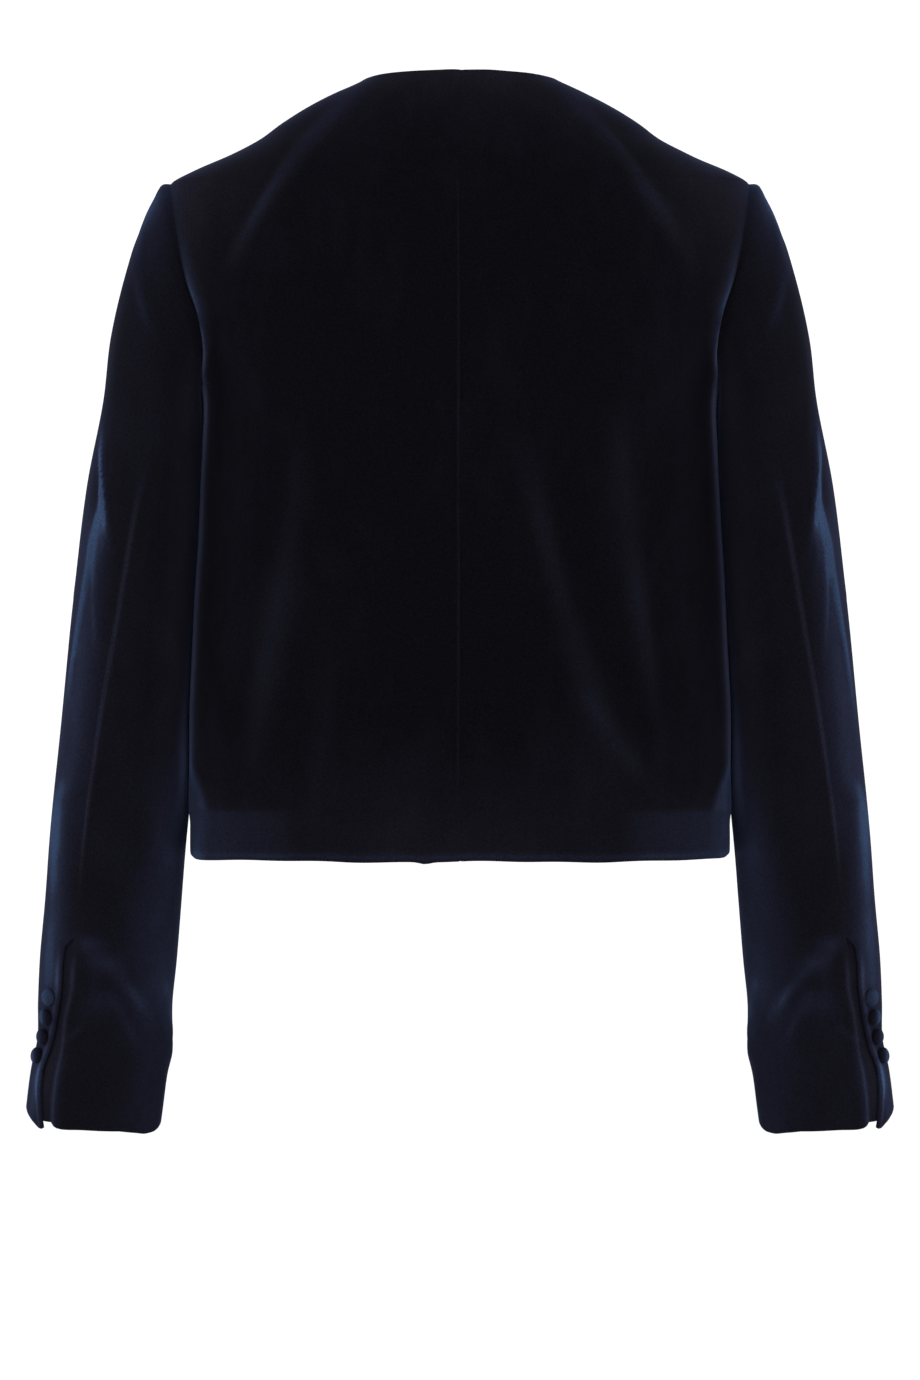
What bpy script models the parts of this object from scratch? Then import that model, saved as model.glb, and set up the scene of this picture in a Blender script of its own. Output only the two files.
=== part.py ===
"""Velvet jacket: cropped, collarless, with set-in two-piece sleeves and a buttoned vent at each cuff.

Metres, +Z up. The back faces -Y, the front faces +Y, and the wearer's right side is +X.
The origin lies between the two shoulder points, where the wearer's shoulders carry the jacket.
"""

import math
from collections import namedtuple
from functools import lru_cache

import bmesh
import bpy
import numpy as np
from mathutils import Matrix, Vector

# Cloth and seams
CLOTH = 0.0020
SEAM_GAP = 0.0003
STEP = 1e-4
PLACE_STEP = 0.012
HEIGHT_STEP = 0.0015

# Lengths from the shoulder points, up positive
HEM_Z = -0.4445
UNDERARM_Z = -0.135
SHOULDER_Z = -0.0015
NECK_SIDE_Z = 0.0664
NECK_BACK_Z = 0.0690
NECK_FRONT_Z = -0.026
NECK_HALF_WIDTH = 0.0635
NECK_CORNER = 0.0006
NECK_ROUND = 1.7

# Reach of the armhole from the side line, measured along the cloth
ARMHOLE_BACK = 0.062
ARMHOLE_FRONT = 0.058

# Front edges: they meet edge to edge with a little air between them
FRONT_EDGE = 0.0015
FRONT_FLARE = 0.0035

# Horizontal sections of the body of the jacket, from the hem up to the neck.
# half_width is from the centre to the side line, and back, side and front are depths along Y.
# square is the roundness of the section, 2 for an ellipse. hollow is how far the arm presses the side in.
Level = namedtuple("Level", "height half_width back side front square hollow")
LEVELS = (
    Level(-0.4700, 0.1770, -0.1090, 0.000, 0.1100, 2.50, 0.0000),
    Level(-0.4300, 0.1788, -0.1085, 0.000, 0.1120, 2.50, 0.0015),
    Level(-0.3800, 0.1808, -0.1075, 0.000, 0.1155, 2.50, 0.0060),
    Level(-0.2880, 0.1770, -0.1088, -0.001, 0.1205, 2.50, 0.0058),
    Level(-0.2090, 0.1724, -0.1138, -0.002, 0.1235, 2.50, 0.0058),
    Level(-0.1760, 0.1706, -0.1162, -0.003, 0.1222, 2.52, 0.0053),
    Level(-0.1430, 0.1697, -0.1180, -0.004, 0.1194, 2.56, 0.0045),
    Level(-0.1150, 0.1735, -0.1188, -0.005, 0.1152, 2.62, 0.0020),
    Level(-0.0900, 0.1822, -0.1180, -0.006, 0.1102, 2.68, 0.0000),
    Level(-0.0670, 0.1930, -0.1152, -0.007, 0.1042, 2.70, 0.0000),
    Level(-0.0390, 0.1985, -0.1100, -0.008, 0.0955, 2.65, 0.0000),
    Level(-0.0200, 0.1966, -0.1048, -0.009, 0.0885, 2.58, 0.0000),
    Level(-0.0100, 0.1932, -0.1015, -0.0095, 0.0847, 2.54, 0.0000),
    Level(-0.0015, 0.1892, -0.0985, -0.010, 0.0813, 2.50, 0.0000),
    Level(0.0055, 0.1765, -0.0958, -0.010, 0.0785, 2.45, 0.0000),
    Level(0.0157, 0.1530, -0.0915, -0.011, 0.0740, 2.40, 0.0000),
    Level(0.0262, 0.1327, -0.0865, -0.011, 0.0690, 2.35, 0.0000),
    Level(0.0370, 0.1180, -0.0810, -0.012, 0.0635, 2.30, 0.0000),
    Level(0.0475, 0.1016, -0.0750, -0.012, 0.0575, 2.25, 0.0000),
    Level(0.0577, 0.0818, -0.0685, -0.012, 0.0510, 2.20, 0.0000),
    Level(0.0664, 0.0635, -0.0630, -0.012, 0.0455, 2.15, 0.0000),
    Level(0.0770, 0.0550, -0.0560, -0.012, 0.0400, 2.10, 0.0000),
)
HOLLOW_SPREAD = 0.030

# Rings of the sleeve, from the armhole to the cuff. Each ring runs from its outer point, at the top of the
# arm, to its inner point, against the body. mid and half are its depth along Y, drop is how much lower its back
# hangs, and square is its roundness.
Ring = namedtuple("Ring", "along outer_x outer_z inner_x inner_z mid half drop square")
RINGS = (
    Ring(0.000, 0.1892, -0.0015, 0.1665, -0.1350, -0.005, 0.060, 0.000, 2.00),
    Ring(0.007, 0.1958, -0.0020, 0.1666, -0.1360, -0.005, 0.061, 0.000, 2.00),
    Ring(0.016, 0.2006, -0.0122, 0.1667, -0.1380, -0.005, 0.062, 0.000, 2.05),
    Ring(0.044, 0.2120, -0.0385, 0.1668, -0.1450, -0.005, 0.064, 0.000, 2.10),
    Ring(0.072, 0.2208, -0.0645, 0.1669, -0.1550, -0.005, 0.066, 0.000, 2.15),
    Ring(0.112, 0.2300, -0.1035, 0.1672, -0.1720, -0.005, 0.067, 0.000, 2.20),
    Ring(0.152, 0.2346, -0.1430, 0.1678, -0.1930, -0.005, 0.066, 0.000, 2.25),
    Ring(0.210, 0.2455, -0.2000, 0.1690, -0.2300, -0.006, 0.063, 0.000, 2.30),
    Ring(0.290, 0.2550, -0.2800, 0.1730, -0.2970, -0.006, 0.059, 0.000, 2.30),
    Ring(0.364, 0.2629, -0.3540, 0.1762, -0.3630, 0.000, 0.054, 0.002, 2.30),
    Ring(0.405, 0.2674, -0.3940, 0.1780, -0.4000, 0.005, 0.051, 0.003, 2.30),
    Ring(0.445, 0.2714, -0.4340, 0.1815, -0.4370, 0.010, 0.048, 0.004, 2.30),
    Ring(0.486, 0.2750, -0.4740, 0.1844, -0.4770, 0.016, 0.045, 0.005, 2.30),
    Ring(0.524, 0.2787, -0.5125, 0.1880, -0.5150, 0.022, 0.043, 0.005, 2.30),
    Ring(0.553, 0.2802, -0.5410, 0.1912, -0.5430, 0.027, 0.041, 0.005, 2.30),
    Ring(0.579, 0.2812, -0.5675, 0.1918, -0.5700, 0.031, 0.040, 0.005, 2.30),
    Ring(0.593, 0.2844, -0.5810, 0.1938, -0.5835, 0.033, 0.039, 0.005, 2.40),
    Ring(0.629, 0.2895, -0.6165, 0.1994, -0.6232, 0.038, 0.038, 0.005, 2.90),
)
SLEEVE_LENGTH = RINGS[-1].along
CAP_BLEND = 0.110

# Sleeve seams as degrees round the arm: 0 is the outer side, 90 the back, 180 the inner side, -90 the front
Seam = namedtuple("Seam", "along back front")
SEAMS = (
    Seam(0.000, 90.0, -108.0),
    Seam(0.180, 89.0, -116.0),
    Seam(0.290, 80.5, -120.0),
    Seam(0.364, 71.5, -123.0),
    Seam(0.455, 66.0, -126.0),
    Seam(0.629, 65.5, -130.0),
)

# Cuff vent at the back seam: how many degrees the edges of the top and under sleeve stand outward of the
# seam's line. It opens over an underlap, and carries four covered buttons on the top sleeve.
Vent = namedtuple("Vent", "along top under")
VENT = (
    Vent(0.503, 0.0, 0.0),
    Vent(0.510, 7.5, 1.5),
    Vent(0.518, 11.5, 2.6),
    Vent(0.539, 11.5, 2.6),
    Vent(0.561, 16.5, 8.5),
    Vent(0.577, 23.5, 11.0),
    Vent(0.592, 28.5, 10.5),
    Vent(0.606, 27.5, 9.0),
    Vent(0.618, 22.0, 7.0),
    Vent(0.629, 17.0, 5.0),
)
VENT_ALONG = VENT[0].along
UNDERLAP_REACH = (12.0, 8.0)
UNDERLAP_CLEAR = 0.0020
UNDERLAP_HEM = 0.0015
BUTTON_COUNT = 4
BUTTON_FIRST = 0.5453
BUTTON_PITCH = 0.0135
BUTTON_INSET = 11.5
BUTTON_RADIUS = 0.0055
BUTTON_HEIGHT = 0.0048
BUTTON_STEPS = 12
BUTTON_SEAT = 0.0007

# Largest folds of the body: a soft ridge from (x0, z0) to (x1, z1), bowed sideways at its middle
Fold = namedtuple("Fold", "x0 z0 x1 z1 bow width depth")
BACK_FOLDS = (
    Fold(-0.060, 0.066, -0.155, -0.068, -0.008, 0.011, 0.0030),
    Fold(0.060, 0.066, 0.156, -0.068, 0.007, 0.011, 0.0030),
    Fold(-0.100, -0.150, -0.132, -0.385, 0.000, 0.013, 0.0034),
    Fold(-0.080, -0.315, -0.096, -0.425, 0.000, 0.012, 0.0018),
    Fold(0.034, -0.150, 0.104, -0.395, -0.005, 0.014, 0.0038),
    Fold(0.098, -0.140, 0.133, -0.385, -0.004, 0.013, 0.0032),
)
FRONT_FOLDS = (
    Fold(-0.142, -0.095, -0.078, -0.190, 0.004, 0.015, 0.0025),
    Fold(0.142, -0.095, 0.078, -0.190, -0.004, 0.015, 0.0025),
    Fold(-0.088, -0.215, -0.112, -0.415, 0.006, 0.016, 0.0035),
    Fold(0.084, -0.220, 0.106, -0.420, -0.006, 0.016, 0.0035),
    Fold(-0.036, -0.260, -0.044, -0.430, 0.003, 0.014, 0.0020),
    Fold(0.040, -0.255, 0.052, -0.425, -0.004, 0.014, 0.0020),
)

# Largest folds of a sleeve, by degrees round the arm and distance along it
SleeveFold = namedtuple("SleeveFold", "angle0 along0 angle1 along1 width depth")
SLEEVE_FOLDS = (
    SleeveFold(2.0, 0.145, 64.0, 0.246, 0.009, 0.0024),
    SleeveFold(64.0, 0.222, 16.0, 0.330, 0.009, 0.0024),
    SleeveFold(-70.0, 0.250, 0.0, 0.290, 0.012, 0.0030),
    SleeveFold(-80.0, 0.300, -10.0, 0.325, 0.012, 0.0026),
    SleeveFold(58.0, 0.492, 130.0, 0.556, 0.009, 0.0030),
    SleeveFold(90.0, 0.532, 132.0, 0.588, 0.008, 0.0022),
    SleeveFold(150.0, 0.560, 200.0, 0.600, 0.009, 0.0014),
)
SLEEVE_RADIUS = 0.045

# How finely the pieces are divided
BODY_COLUMNS = 13
BODY_ROWS = 13
BODY_CROWD = 1.35
ARMHOLE_STEPS = 10
NECK_STEPS = 5
SHOULDER_ROW = 0.009
NEAREST_ROWS = 0.0030
NEAREST_TURNS = 0.05
SLEEVE_ROWS = (0.0, 0.004, 0.009, 0.016, 0.026, 0.040, 0.058, 0.080)
SLEEVE_ROW = 0.0230
CUFF_ROW = 0.0132
UNDERLAP_COLUMNS = 6
UNDERLAP_ROWS = 7
SECTION_POINTS = 97

NAVY_VELVET = (0.006, 0.009, 0.022, 1.0)
NAVY_BUTTON = (0.007, 0.010, 0.024, 1.0)


def column_at(rows, key, value, at):
    """Value column of a table at a place on its key column, on a smooth curve through the rows."""
    xs = np.array([getattr(row, key) for row in rows])
    ys = np.array([getattr(row, value) for row in rows])
    steps = np.diff(xs)
    slopes = np.diff(ys) / steps
    tangents = np.concatenate([slopes[:1], slopes[1:], slopes[-1:]])
    tangents[1:-1] = (steps[:-1] * slopes[1:] + steps[1:] * slopes[:-1]) / (steps[:-1] + steps[1:])
    i = int(np.clip(np.searchsorted(xs, at) - 1, 0, len(xs) - 2))
    t = (at - xs[i]) / steps[i]
    start = (1 + 2 * t) * (1 - t) ** 2 * ys[i] + t * (1 - t) ** 2 * steps[i] * tangents[i]
    end = t * t * (3 - 2 * t) * ys[i + 1] + t * t * (t - 1) * steps[i] * tangents[i + 1]
    return float(start + end)


def smooth(t):
    t = min(1.0, max(0.0, t))
    return t * t * (3 - 2 * t)


# Body of the jacket


@lru_cache(maxsize=None)
def section(height):
    """Half a section of the body at a height: points from the centre back round the side to the centre front,
    and the distance along the cloth to each, which is 1 at the side line and 2 at the centre front."""
    level = {name: column_at(LEVELS, "height", name, height) for name in Level._fields[1:]}
    angles = np.linspace(0, math.pi / 2, SECTION_POINTS)
    power = 2 / level["square"]
    across = level["half_width"] * np.sin(angles) ** power
    deep = np.cos(angles) ** power
    back_y = level["side"] + (level["back"] - level["side"]) * deep
    front_y = level["side"] + (level["front"] - level["side"]) * deep
    xs = np.concatenate([across, across[-2::-1]])
    ys = np.concatenate([back_y, front_y[-2::-1]])
    xs = xs - level["hollow"] * np.exp(-(((ys - level["side"]) / HOLLOW_SPREAD) ** 2))
    lengths = np.concatenate([[0], np.cumsum(np.hypot(np.diff(xs), np.diff(ys)))])
    side = SECTION_POINTS - 1
    back_length = lengths[side]
    front_length = lengths[-1] - back_length
    places = np.where(
        lengths <= back_length, lengths / back_length, 1 + (lengths - back_length) / front_length
    )
    return xs, ys, places, back_length, front_length


def fold_height(folds, x, z):
    """How far the folds push the cloth out at a point of the body."""
    total = 0.0
    for fold in folds:
        run = np.array([fold.x1 - fold.x0, fold.z1 - fold.z0])
        length = float(np.hypot(*run))
        run = run / length
        away = np.array([x - fold.x0, z - fold.z0])
        t = float(away @ run) / length
        if not 0 < t < 1:
            continue
        sideways = float(away @ np.array([-run[1], run[0]])) - fold.bow * math.sin(math.pi * t)
        total += fold.depth * math.sin(math.pi * t) ** 0.8 * math.exp(-((sideways / fold.width) ** 2))
    return total


def bare_body(place, height):
    """Point of the unfolded body: place is 0 at the centre back, 1 at the side and 2 at the centre front."""
    xs, ys, places, _, _ = section(height)
    turned = abs(place)
    sign = 1.0 if place >= 0 else -1.0
    if turned > 2:
        turned = 4 - turned
        sign = -sign
    return np.array([sign * np.interp(turned, places, xs), np.interp(turned, places, ys), height])


def body_normal(surface, place, height):
    """Outward normal of a body surface at a place and height."""
    across = surface(place + PLACE_STEP, height) - surface(place - PLACE_STEP, height)
    up = surface(place, height + HEIGHT_STEP) - surface(place, height - HEIGHT_STEP)
    normal = np.cross(across, up)
    return normal / np.linalg.norm(normal)


def folded_body(side):
    """The body's surface with its folds, for the wearer's right (side 1) or left (side -1), built on +X."""

    def surface(place, height):
        point = bare_body(place, height)
        normal = body_normal(bare_body, place, height)
        folds = BACK_FOLDS if place < 1 else FRONT_FOLDS
        edge = 1 - math.exp(-(((place - 1) / 0.12) ** 2))
        return point + normal * fold_height(folds, side * point[0], height) * edge

    return surface


def armhole_reach(height, reach):
    """How far the armhole cuts into a panel at a height: the edge is half an ellipse."""
    half = (SHOULDER_Z - UNDERARM_Z) / 2
    off = (height - UNDERARM_Z - half) / half
    return reach * math.sqrt(max(0.0, 1 - off * off))


def neck_place(height):
    """Where the front neckline crosses a height, as a place round the section."""
    depth = NECK_SIDE_Z - NECK_FRONT_Z
    down = (NECK_SIDE_Z - height) / depth
    across = NECK_HALF_WIDTH * max(0.0, 1 - down**NECK_ROUND) ** (1 / NECK_ROUND)
    xs, _, places, _, _ = section(height)
    front = slice(SECTION_POINTS - 1, None)
    return float(np.interp(across, xs[front][::-1], places[front][::-1]))


def body_heights(top):
    """Heights of a panel's rows: even below the armhole, closer where the armhole and neckline turn."""
    share = np.linspace(1, 0, BODY_ROWS + 1) ** BODY_CROWD
    low = UNDERARM_Z - (UNDERARM_Z - HEM_Z) * share
    half = (SHOULDER_Z - UNDERARM_Z) / 2
    turn = np.linspace(0, math.pi, ARMHOLE_STEPS + 1)
    armhole = UNDERARM_Z + half * (1 - np.cos(turn))
    neck_turn = np.linspace(0, math.pi / 2, NECK_STEPS + 1)[:-1]
    neck = NECK_SIDE_Z - (NECK_SIDE_Z - NECK_FRONT_Z) * np.cos(neck_turn)
    shoulder = np.linspace(SHOULDER_Z, top, 1 + round((top - SHOULDER_Z) / SHOULDER_ROW))
    fixed = [HEM_Z, UNDERARM_Z, NECK_FRONT_Z, SHOULDER_Z, top]
    rows = list(fixed)
    for height in [*low, *armhole, *neck, *shoulder]:
        if height < top and min(abs(height - row) for row in rows) > NEAREST_ROWS:
            rows.append(height)
    return sorted(rows)


def back_row(height):
    """Places where a row of the back panel starts and ends: the centre seam, and the side, armhole or shoulder."""
    _, _, _, length, _ = section(height)
    reach = 0.0
    if UNDERARM_Z < height < SHOULDER_Z:
        reach = armhole_reach(height, ARMHOLE_BACK)
    return SEAM_GAP / 2 / length, 1 - (reach + SEAM_GAP / 2) / length


def front_row(height):
    """Places where a row of the front panel starts and ends: the side, armhole or shoulder, and the front edge."""
    _, _, _, _, length = section(height)
    reach = 0.0
    if UNDERARM_Z < height < SHOULDER_Z:
        reach = armhole_reach(height, ARMHOLE_FRONT)
    down = (NECK_FRONT_Z - height) / (NECK_FRONT_Z - HEM_Z)
    edge = 2 - (FRONT_EDGE + FRONT_FLARE * max(0.0, down)) / length
    if height > NECK_FRONT_Z:
        edge = min(edge, neck_place(height))
    return 1 + (reach + SEAM_GAP / 2) / length, edge


def back_neck_height(height, place):
    """The top rows of the back follow the neckline, which is highest at the centre back."""
    share = smooth((height - SHOULDER_Z) / (NECK_BACK_Z - SHOULDER_Z))
    return height - share * (NECK_BACK_Z - NECK_SIDE_Z) * place * place


def body_grid(top, row_ends, row_height):
    """Rows of (place, height) over a panel of the body."""
    grid = []
    for height in body_heights(top):
        start, end = row_ends(height)
        row = []
        for place in np.linspace(start, end, BODY_COLUMNS):
            row.append((place, row_height(height, place)))
        grid.append(row)
    return grid


# Sleeve


@lru_cache(maxsize=None)
def armhole(angle):
    """Point of the armhole edge at an angle round the arm, in radians."""
    half = (SHOULDER_Z - UNDERARM_Z) / 2
    height = UNDERARM_Z + half * (1 + math.cos(angle))
    _, _, _, back_length, front_length = section(height)
    if math.sin(angle) >= 0:
        place = 1 - ARMHOLE_BACK * abs(math.sin(angle)) / back_length
    else:
        place = 1 + ARMHOLE_FRONT * abs(math.sin(angle)) / front_length
    return bare_body(place, height)


def plain_ring(angle, along):
    """Point of the sleeve's rings, before the cap is eased into the armhole."""
    ring = {name: column_at(RINGS, "along", name, along) for name in Ring._fields[1:]}
    power = 2 / ring["square"]
    out = math.copysign(abs(math.cos(angle)) ** power, math.cos(angle))
    back = math.copysign(abs(math.sin(angle)) ** power, math.sin(angle))
    outer = np.array([ring["outer_x"], ring["mid"], ring["outer_z"]])
    inner = np.array([ring["inner_x"], ring["mid"], ring["inner_z"]])
    return (outer + inner) / 2 + (outer - inner) / 2 * out + np.array([0, -ring["half"], -ring["drop"]]) * back


def bare_sleeve(angle, along):
    """Point of the unfolded sleeve: it starts on the armhole edge and eases into the rings."""
    inside = min(SLEEVE_LENGTH, max(0.0, along))
    point = plain_ring(angle, inside)
    share = 1 - smooth(inside / CAP_BLEND)
    if share > 0:
        point = point + share * (armhole(angle) - plain_ring(angle, 0.0))
    return point + np.array([SEAM_GAP * share, 0, 0])


def sleeve_fold_height(angle, along):
    """How far the folds push the sleeve out at a point."""
    total = 0.0
    for fold in SLEEVE_FOLDS:
        middle = math.radians(fold.angle0 + fold.angle1) / 2
        near = middle + math.remainder(angle - middle, math.tau)
        arc = SLEEVE_RADIUS * (near - math.radians(fold.angle0))
        run = np.array([SLEEVE_RADIUS * math.radians(fold.angle1 - fold.angle0), fold.along1 - fold.along0])
        length = float(np.hypot(*run))
        run = run / length
        away = np.array([arc, along - fold.along0])
        t = float(away @ run) / length
        if not 0 < t < 1:
            continue
        sideways = float(away @ np.array([-run[1], run[0]]))
        total += fold.depth * math.sin(math.pi * t) * math.exp(-((sideways / fold.width) ** 2))
    return total


def sleeve_normal(angle, along):
    """Outward normal of the unfolded sleeve, one-sided at its two ends."""
    low = max(0.0, along - STEP)
    high = min(SLEEVE_LENGTH, along + STEP)
    round_arm = bare_sleeve(angle + STEP, along) - bare_sleeve(angle - STEP, along)
    down_arm = bare_sleeve(angle, high) - bare_sleeve(angle, low)
    normal = np.cross(round_arm, down_arm)
    return normal / np.linalg.norm(normal)


def folded_sleeve(angle, along):
    return bare_sleeve(angle, along) + sleeve_normal(angle, along) * sleeve_fold_height(angle, along)


def seam_angles(along):
    """Angles of the back and front sleeve seams at a distance along the arm, in radians."""
    back = math.radians(column_at(SEAMS, "along", "back", along))
    front = math.radians(column_at(SEAMS, "along", "front", along))
    return back, front


def vent_edges(along):
    """Angles of the top and under sleeve's edges, which leave the back seam where the vent starts."""
    back, _ = seam_angles(along)
    if along <= VENT_ALONG:
        return back, back
    top = math.radians(column_at(VENT, "along", "top", along))
    under = math.radians(column_at(VENT, "along", "under", along))
    return back - top, back - under


def sleeve_distances():
    """Rows of a sleeve: close together over the sleeve head, even down the arm, and closer along the vent."""
    last = SLEEVE_ROWS[-1]
    arm = np.linspace(last, VENT_ALONG, 1 + round((VENT_ALONG - last) / SLEEVE_ROW))
    cuff = np.linspace(VENT_ALONG, SLEEVE_LENGTH, 1 + round((SLEEVE_LENGTH - VENT_ALONG) / CUFF_ROW))
    return [*SLEEVE_ROWS, *arm[1:], *cuff[1:]]


def sleeve_shares(start, end):
    """Columns of a sleeve piece as shares of its width: they start where the body's rows meet the armhole."""
    half = (SHOULDER_Z - UNDERARM_Z) / 2
    rows = [height for height in body_heights(NECK_BACK_Z) if UNDERARM_Z <= height <= SHOULDER_Z]
    turns = [math.acos(np.clip((height - UNDERARM_Z) / half - 1, -1, 1)) for height in rows]
    turns = sorted({round(turn, 6) for near in turns for turn in (-near, near, math.tau - near)})
    inside = [turn for turn in turns if start + NEAREST_TURNS < turn < end - NEAREST_TURNS]
    return [(turn - start) / (end - start) for turn in (start, *inside, end)]


def top_sleeve_grid():
    back, front = seam_angles(0.0)
    shares = sleeve_shares(front, back)
    gap = SEAM_GAP / 2 / SLEEVE_RADIUS
    grid = []
    for along in sleeve_distances():
        _, front = seam_angles(along)
        top, _ = vent_edges(along)
        start = front + gap
        end = top - gap
        grid.append([(start + share * (end - start), along) for share in shares])
    return grid


def under_sleeve_grid():
    back, front = seam_angles(0.0)
    shares = sleeve_shares(back, front + math.tau)
    gap = SEAM_GAP / 2 / SLEEVE_RADIUS
    grid = []
    for along in sleeve_distances():
        _, front = seam_angles(along)
        _, under = vent_edges(along)
        start = under + gap
        end = front + math.tau - gap
        grid.append([(start + share * (end - start), along) for share in shares])
    return grid


def underlap_grid():
    """The underlap lies behind the vent's two edges, and stops just above the cuff's hem."""
    grid = []
    for along in np.linspace(VENT_ALONG, SLEEVE_LENGTH - UNDERLAP_HEM, UNDERLAP_ROWS):
        top, under = vent_edges(along)
        start = top - math.radians(UNDERLAP_REACH[0])
        end = under + math.radians(UNDERLAP_REACH[1])
        grid.append([(angle, along) for angle in np.linspace(start, end, UNDERLAP_COLUMNS)])
    return grid


def sleeve_wall_normal(angle, along):
    """Outward normal of the folded sleeve, one-sided at its two ends."""
    low = max(0.0, along - STEP)
    high = min(SLEEVE_LENGTH, along + STEP)
    round_arm = folded_sleeve(angle + STEP, along) - folded_sleeve(angle - STEP, along)
    down_arm = folded_sleeve(angle, high) - folded_sleeve(angle, low)
    normal = np.cross(round_arm, down_arm)
    return normal / np.linalg.norm(normal)


# Solids


def finish_material(name, colour, roughness):
    material = bpy.data.materials.new(name)
    material.use_nodes = True
    shader = material.node_tree.nodes["Principled BSDF"]
    shader.inputs["Base Color"].default_value = colour
    shader.inputs["Roughness"].default_value = roughness
    shader.inputs["Metallic"].default_value = 0.0
    shader.inputs["Sheen Weight"].default_value = 1.0
    return material


def cloth_wall(name, grid, surface, normal, side, material, collection, outset=0.0):
    """A closed wall of cloth: an outer sheet over the grid, the same sheet one cloth further in, and the rim."""
    outer = []
    inner = []
    for row in grid:
        for a, b in row:
            point = surface(a, b)
            out = normal(a, b)
            outer.append(point + out * outset)
            inner.append(point + out * (outset - CLOTH))
    columns = len(grid[0])
    mirror = np.array([side, 1, 1])
    mesh = bmesh.new()
    front_verts = [mesh.verts.new(point * mirror) for point in outer]
    back_verts = [mesh.verts.new(point * mirror) for point in inner]
    for i in range(len(grid) - 1):
        for j in range(columns - 1):
            corner = i * columns + j
            quad = (corner, corner + 1, corner + 1 + columns, corner + columns)
            mesh.faces.new([front_verts[k] for k in quad])
            mesh.faces.new([back_verts[k] for k in reversed(quad)])
    rim = [edge for edge in mesh.edges if edge.is_boundary]
    bmesh.ops.bridge_loops(mesh, edges=rim)
    bmesh.ops.recalc_face_normals(mesh, faces=mesh.faces)
    if mesh.calc_volume(signed=True) < 0:
        bmesh.ops.reverse_faces(mesh, faces=mesh.faces)
    data = bpy.data.meshes.new(name)
    mesh.to_mesh(data)
    mesh.free()
    data.shade_smooth()
    data.set_sharp_from_angle(angle=math.radians(50))
    data.materials.append(material)
    piece = bpy.data.objects.new(name, data)
    collection.objects.link(piece)
    return piece


def body_panel(name, side, grid, velvet, collection):
    surface = folded_body(side)

    def normal(place, height):
        return body_normal(surface, place, height)

    return cloth_wall(name, grid, surface, normal, side, velvet, collection)


def button_profile():
    """Half outline of a covered button, from the crown down its outer side to the middle of its flat back."""
    return (
        (0.0, BUTTON_HEIGHT),
        (0.55 * BUTTON_RADIUS, 0.90 * BUTTON_HEIGHT),
        (0.90 * BUTTON_RADIUS, 0.55 * BUTTON_HEIGHT),
        (BUTTON_RADIUS, 0.18 * BUTTON_HEIGHT),
        (0.88 * BUTTON_RADIUS, 0.0),
        (0.0, 0.0),
    )


def cuff_button(name, side, along, material, collection):
    """A covered button on the top sleeve, close to the vent's edge."""
    top, _ = vent_edges(along)
    angle = top - math.radians(BUTTON_INSET)
    mirror = np.array([side, 1, 1])
    out = Vector(sleeve_wall_normal(angle, along) * mirror)
    place = Vector(folded_sleeve(angle, along) * mirror) + out * BUTTON_SEAT
    data = bpy.data.meshes.new(name)
    points = [(x, 0.0, z) for x, z in button_profile()]
    data.from_pydata(points, [(i, i + 1) for i in range(len(points) - 1)], [])
    data.materials.append(material)
    button = bpy.data.objects.new(name, data)
    collection.objects.link(button)
    turn = button.modifiers.new("Turn", "SCREW")
    turn.steps = BUTTON_STEPS
    turn.render_steps = BUTTON_STEPS
    turn.use_merge_vertices = True
    turn.merge_threshold = 0.00001
    turn.use_smooth_shade = True
    button.matrix_world = Matrix.Translation(place) @ out.to_track_quat("Z", "Y").to_matrix().to_4x4()
    return button


def main():
    for old in list(bpy.data.objects):
        bpy.data.objects.remove(old)
    jacket = bpy.data.collections.new("velvet_jacket")
    bpy.context.scene.collection.children.link(jacket)
    velvet = finish_material("navy_velvet", NAVY_VELVET, 0.85)
    covered = finish_material("covered_button", NAVY_BUTTON, 0.80)

    back_grid = body_grid(NECK_BACK_Z, back_row, back_neck_height)
    front_grid = body_grid(NECK_SIDE_Z - NECK_CORNER, front_row, lambda height, place: height)
    for word, side in (("right", 1), ("left", -1)):
        body_panel(f"back_{word}", side, back_grid, velvet, jacket)
        body_panel(f"front_{word}", side, front_grid, velvet, jacket)
        sleeve = (folded_sleeve, sleeve_wall_normal, side, velvet, jacket)
        cloth_wall(f"top_sleeve_{word}", top_sleeve_grid(), *sleeve)
        cloth_wall(f"under_sleeve_{word}", under_sleeve_grid(), *sleeve)
        cloth_wall(f"cuff_underlap_{word}", underlap_grid(), *sleeve, outset=-CLOTH - UNDERLAP_CLEAR)
        for number in range(BUTTON_COUNT):
            along = BUTTON_FIRST + number * BUTTON_PITCH
            cuff_button(f"cuff_button_{word}_{number + 1}", side, along, covered, jacket)


main()
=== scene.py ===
"""A cropped velvet jacket, filled out with no wearer and seen from the back.

Metres, +Z up. The back faces -Y, and the wearer's right side is +X.
"""

import math
from collections import namedtuple

import bpy
import numpy as np
from mathutils import Matrix, Vector


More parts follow.
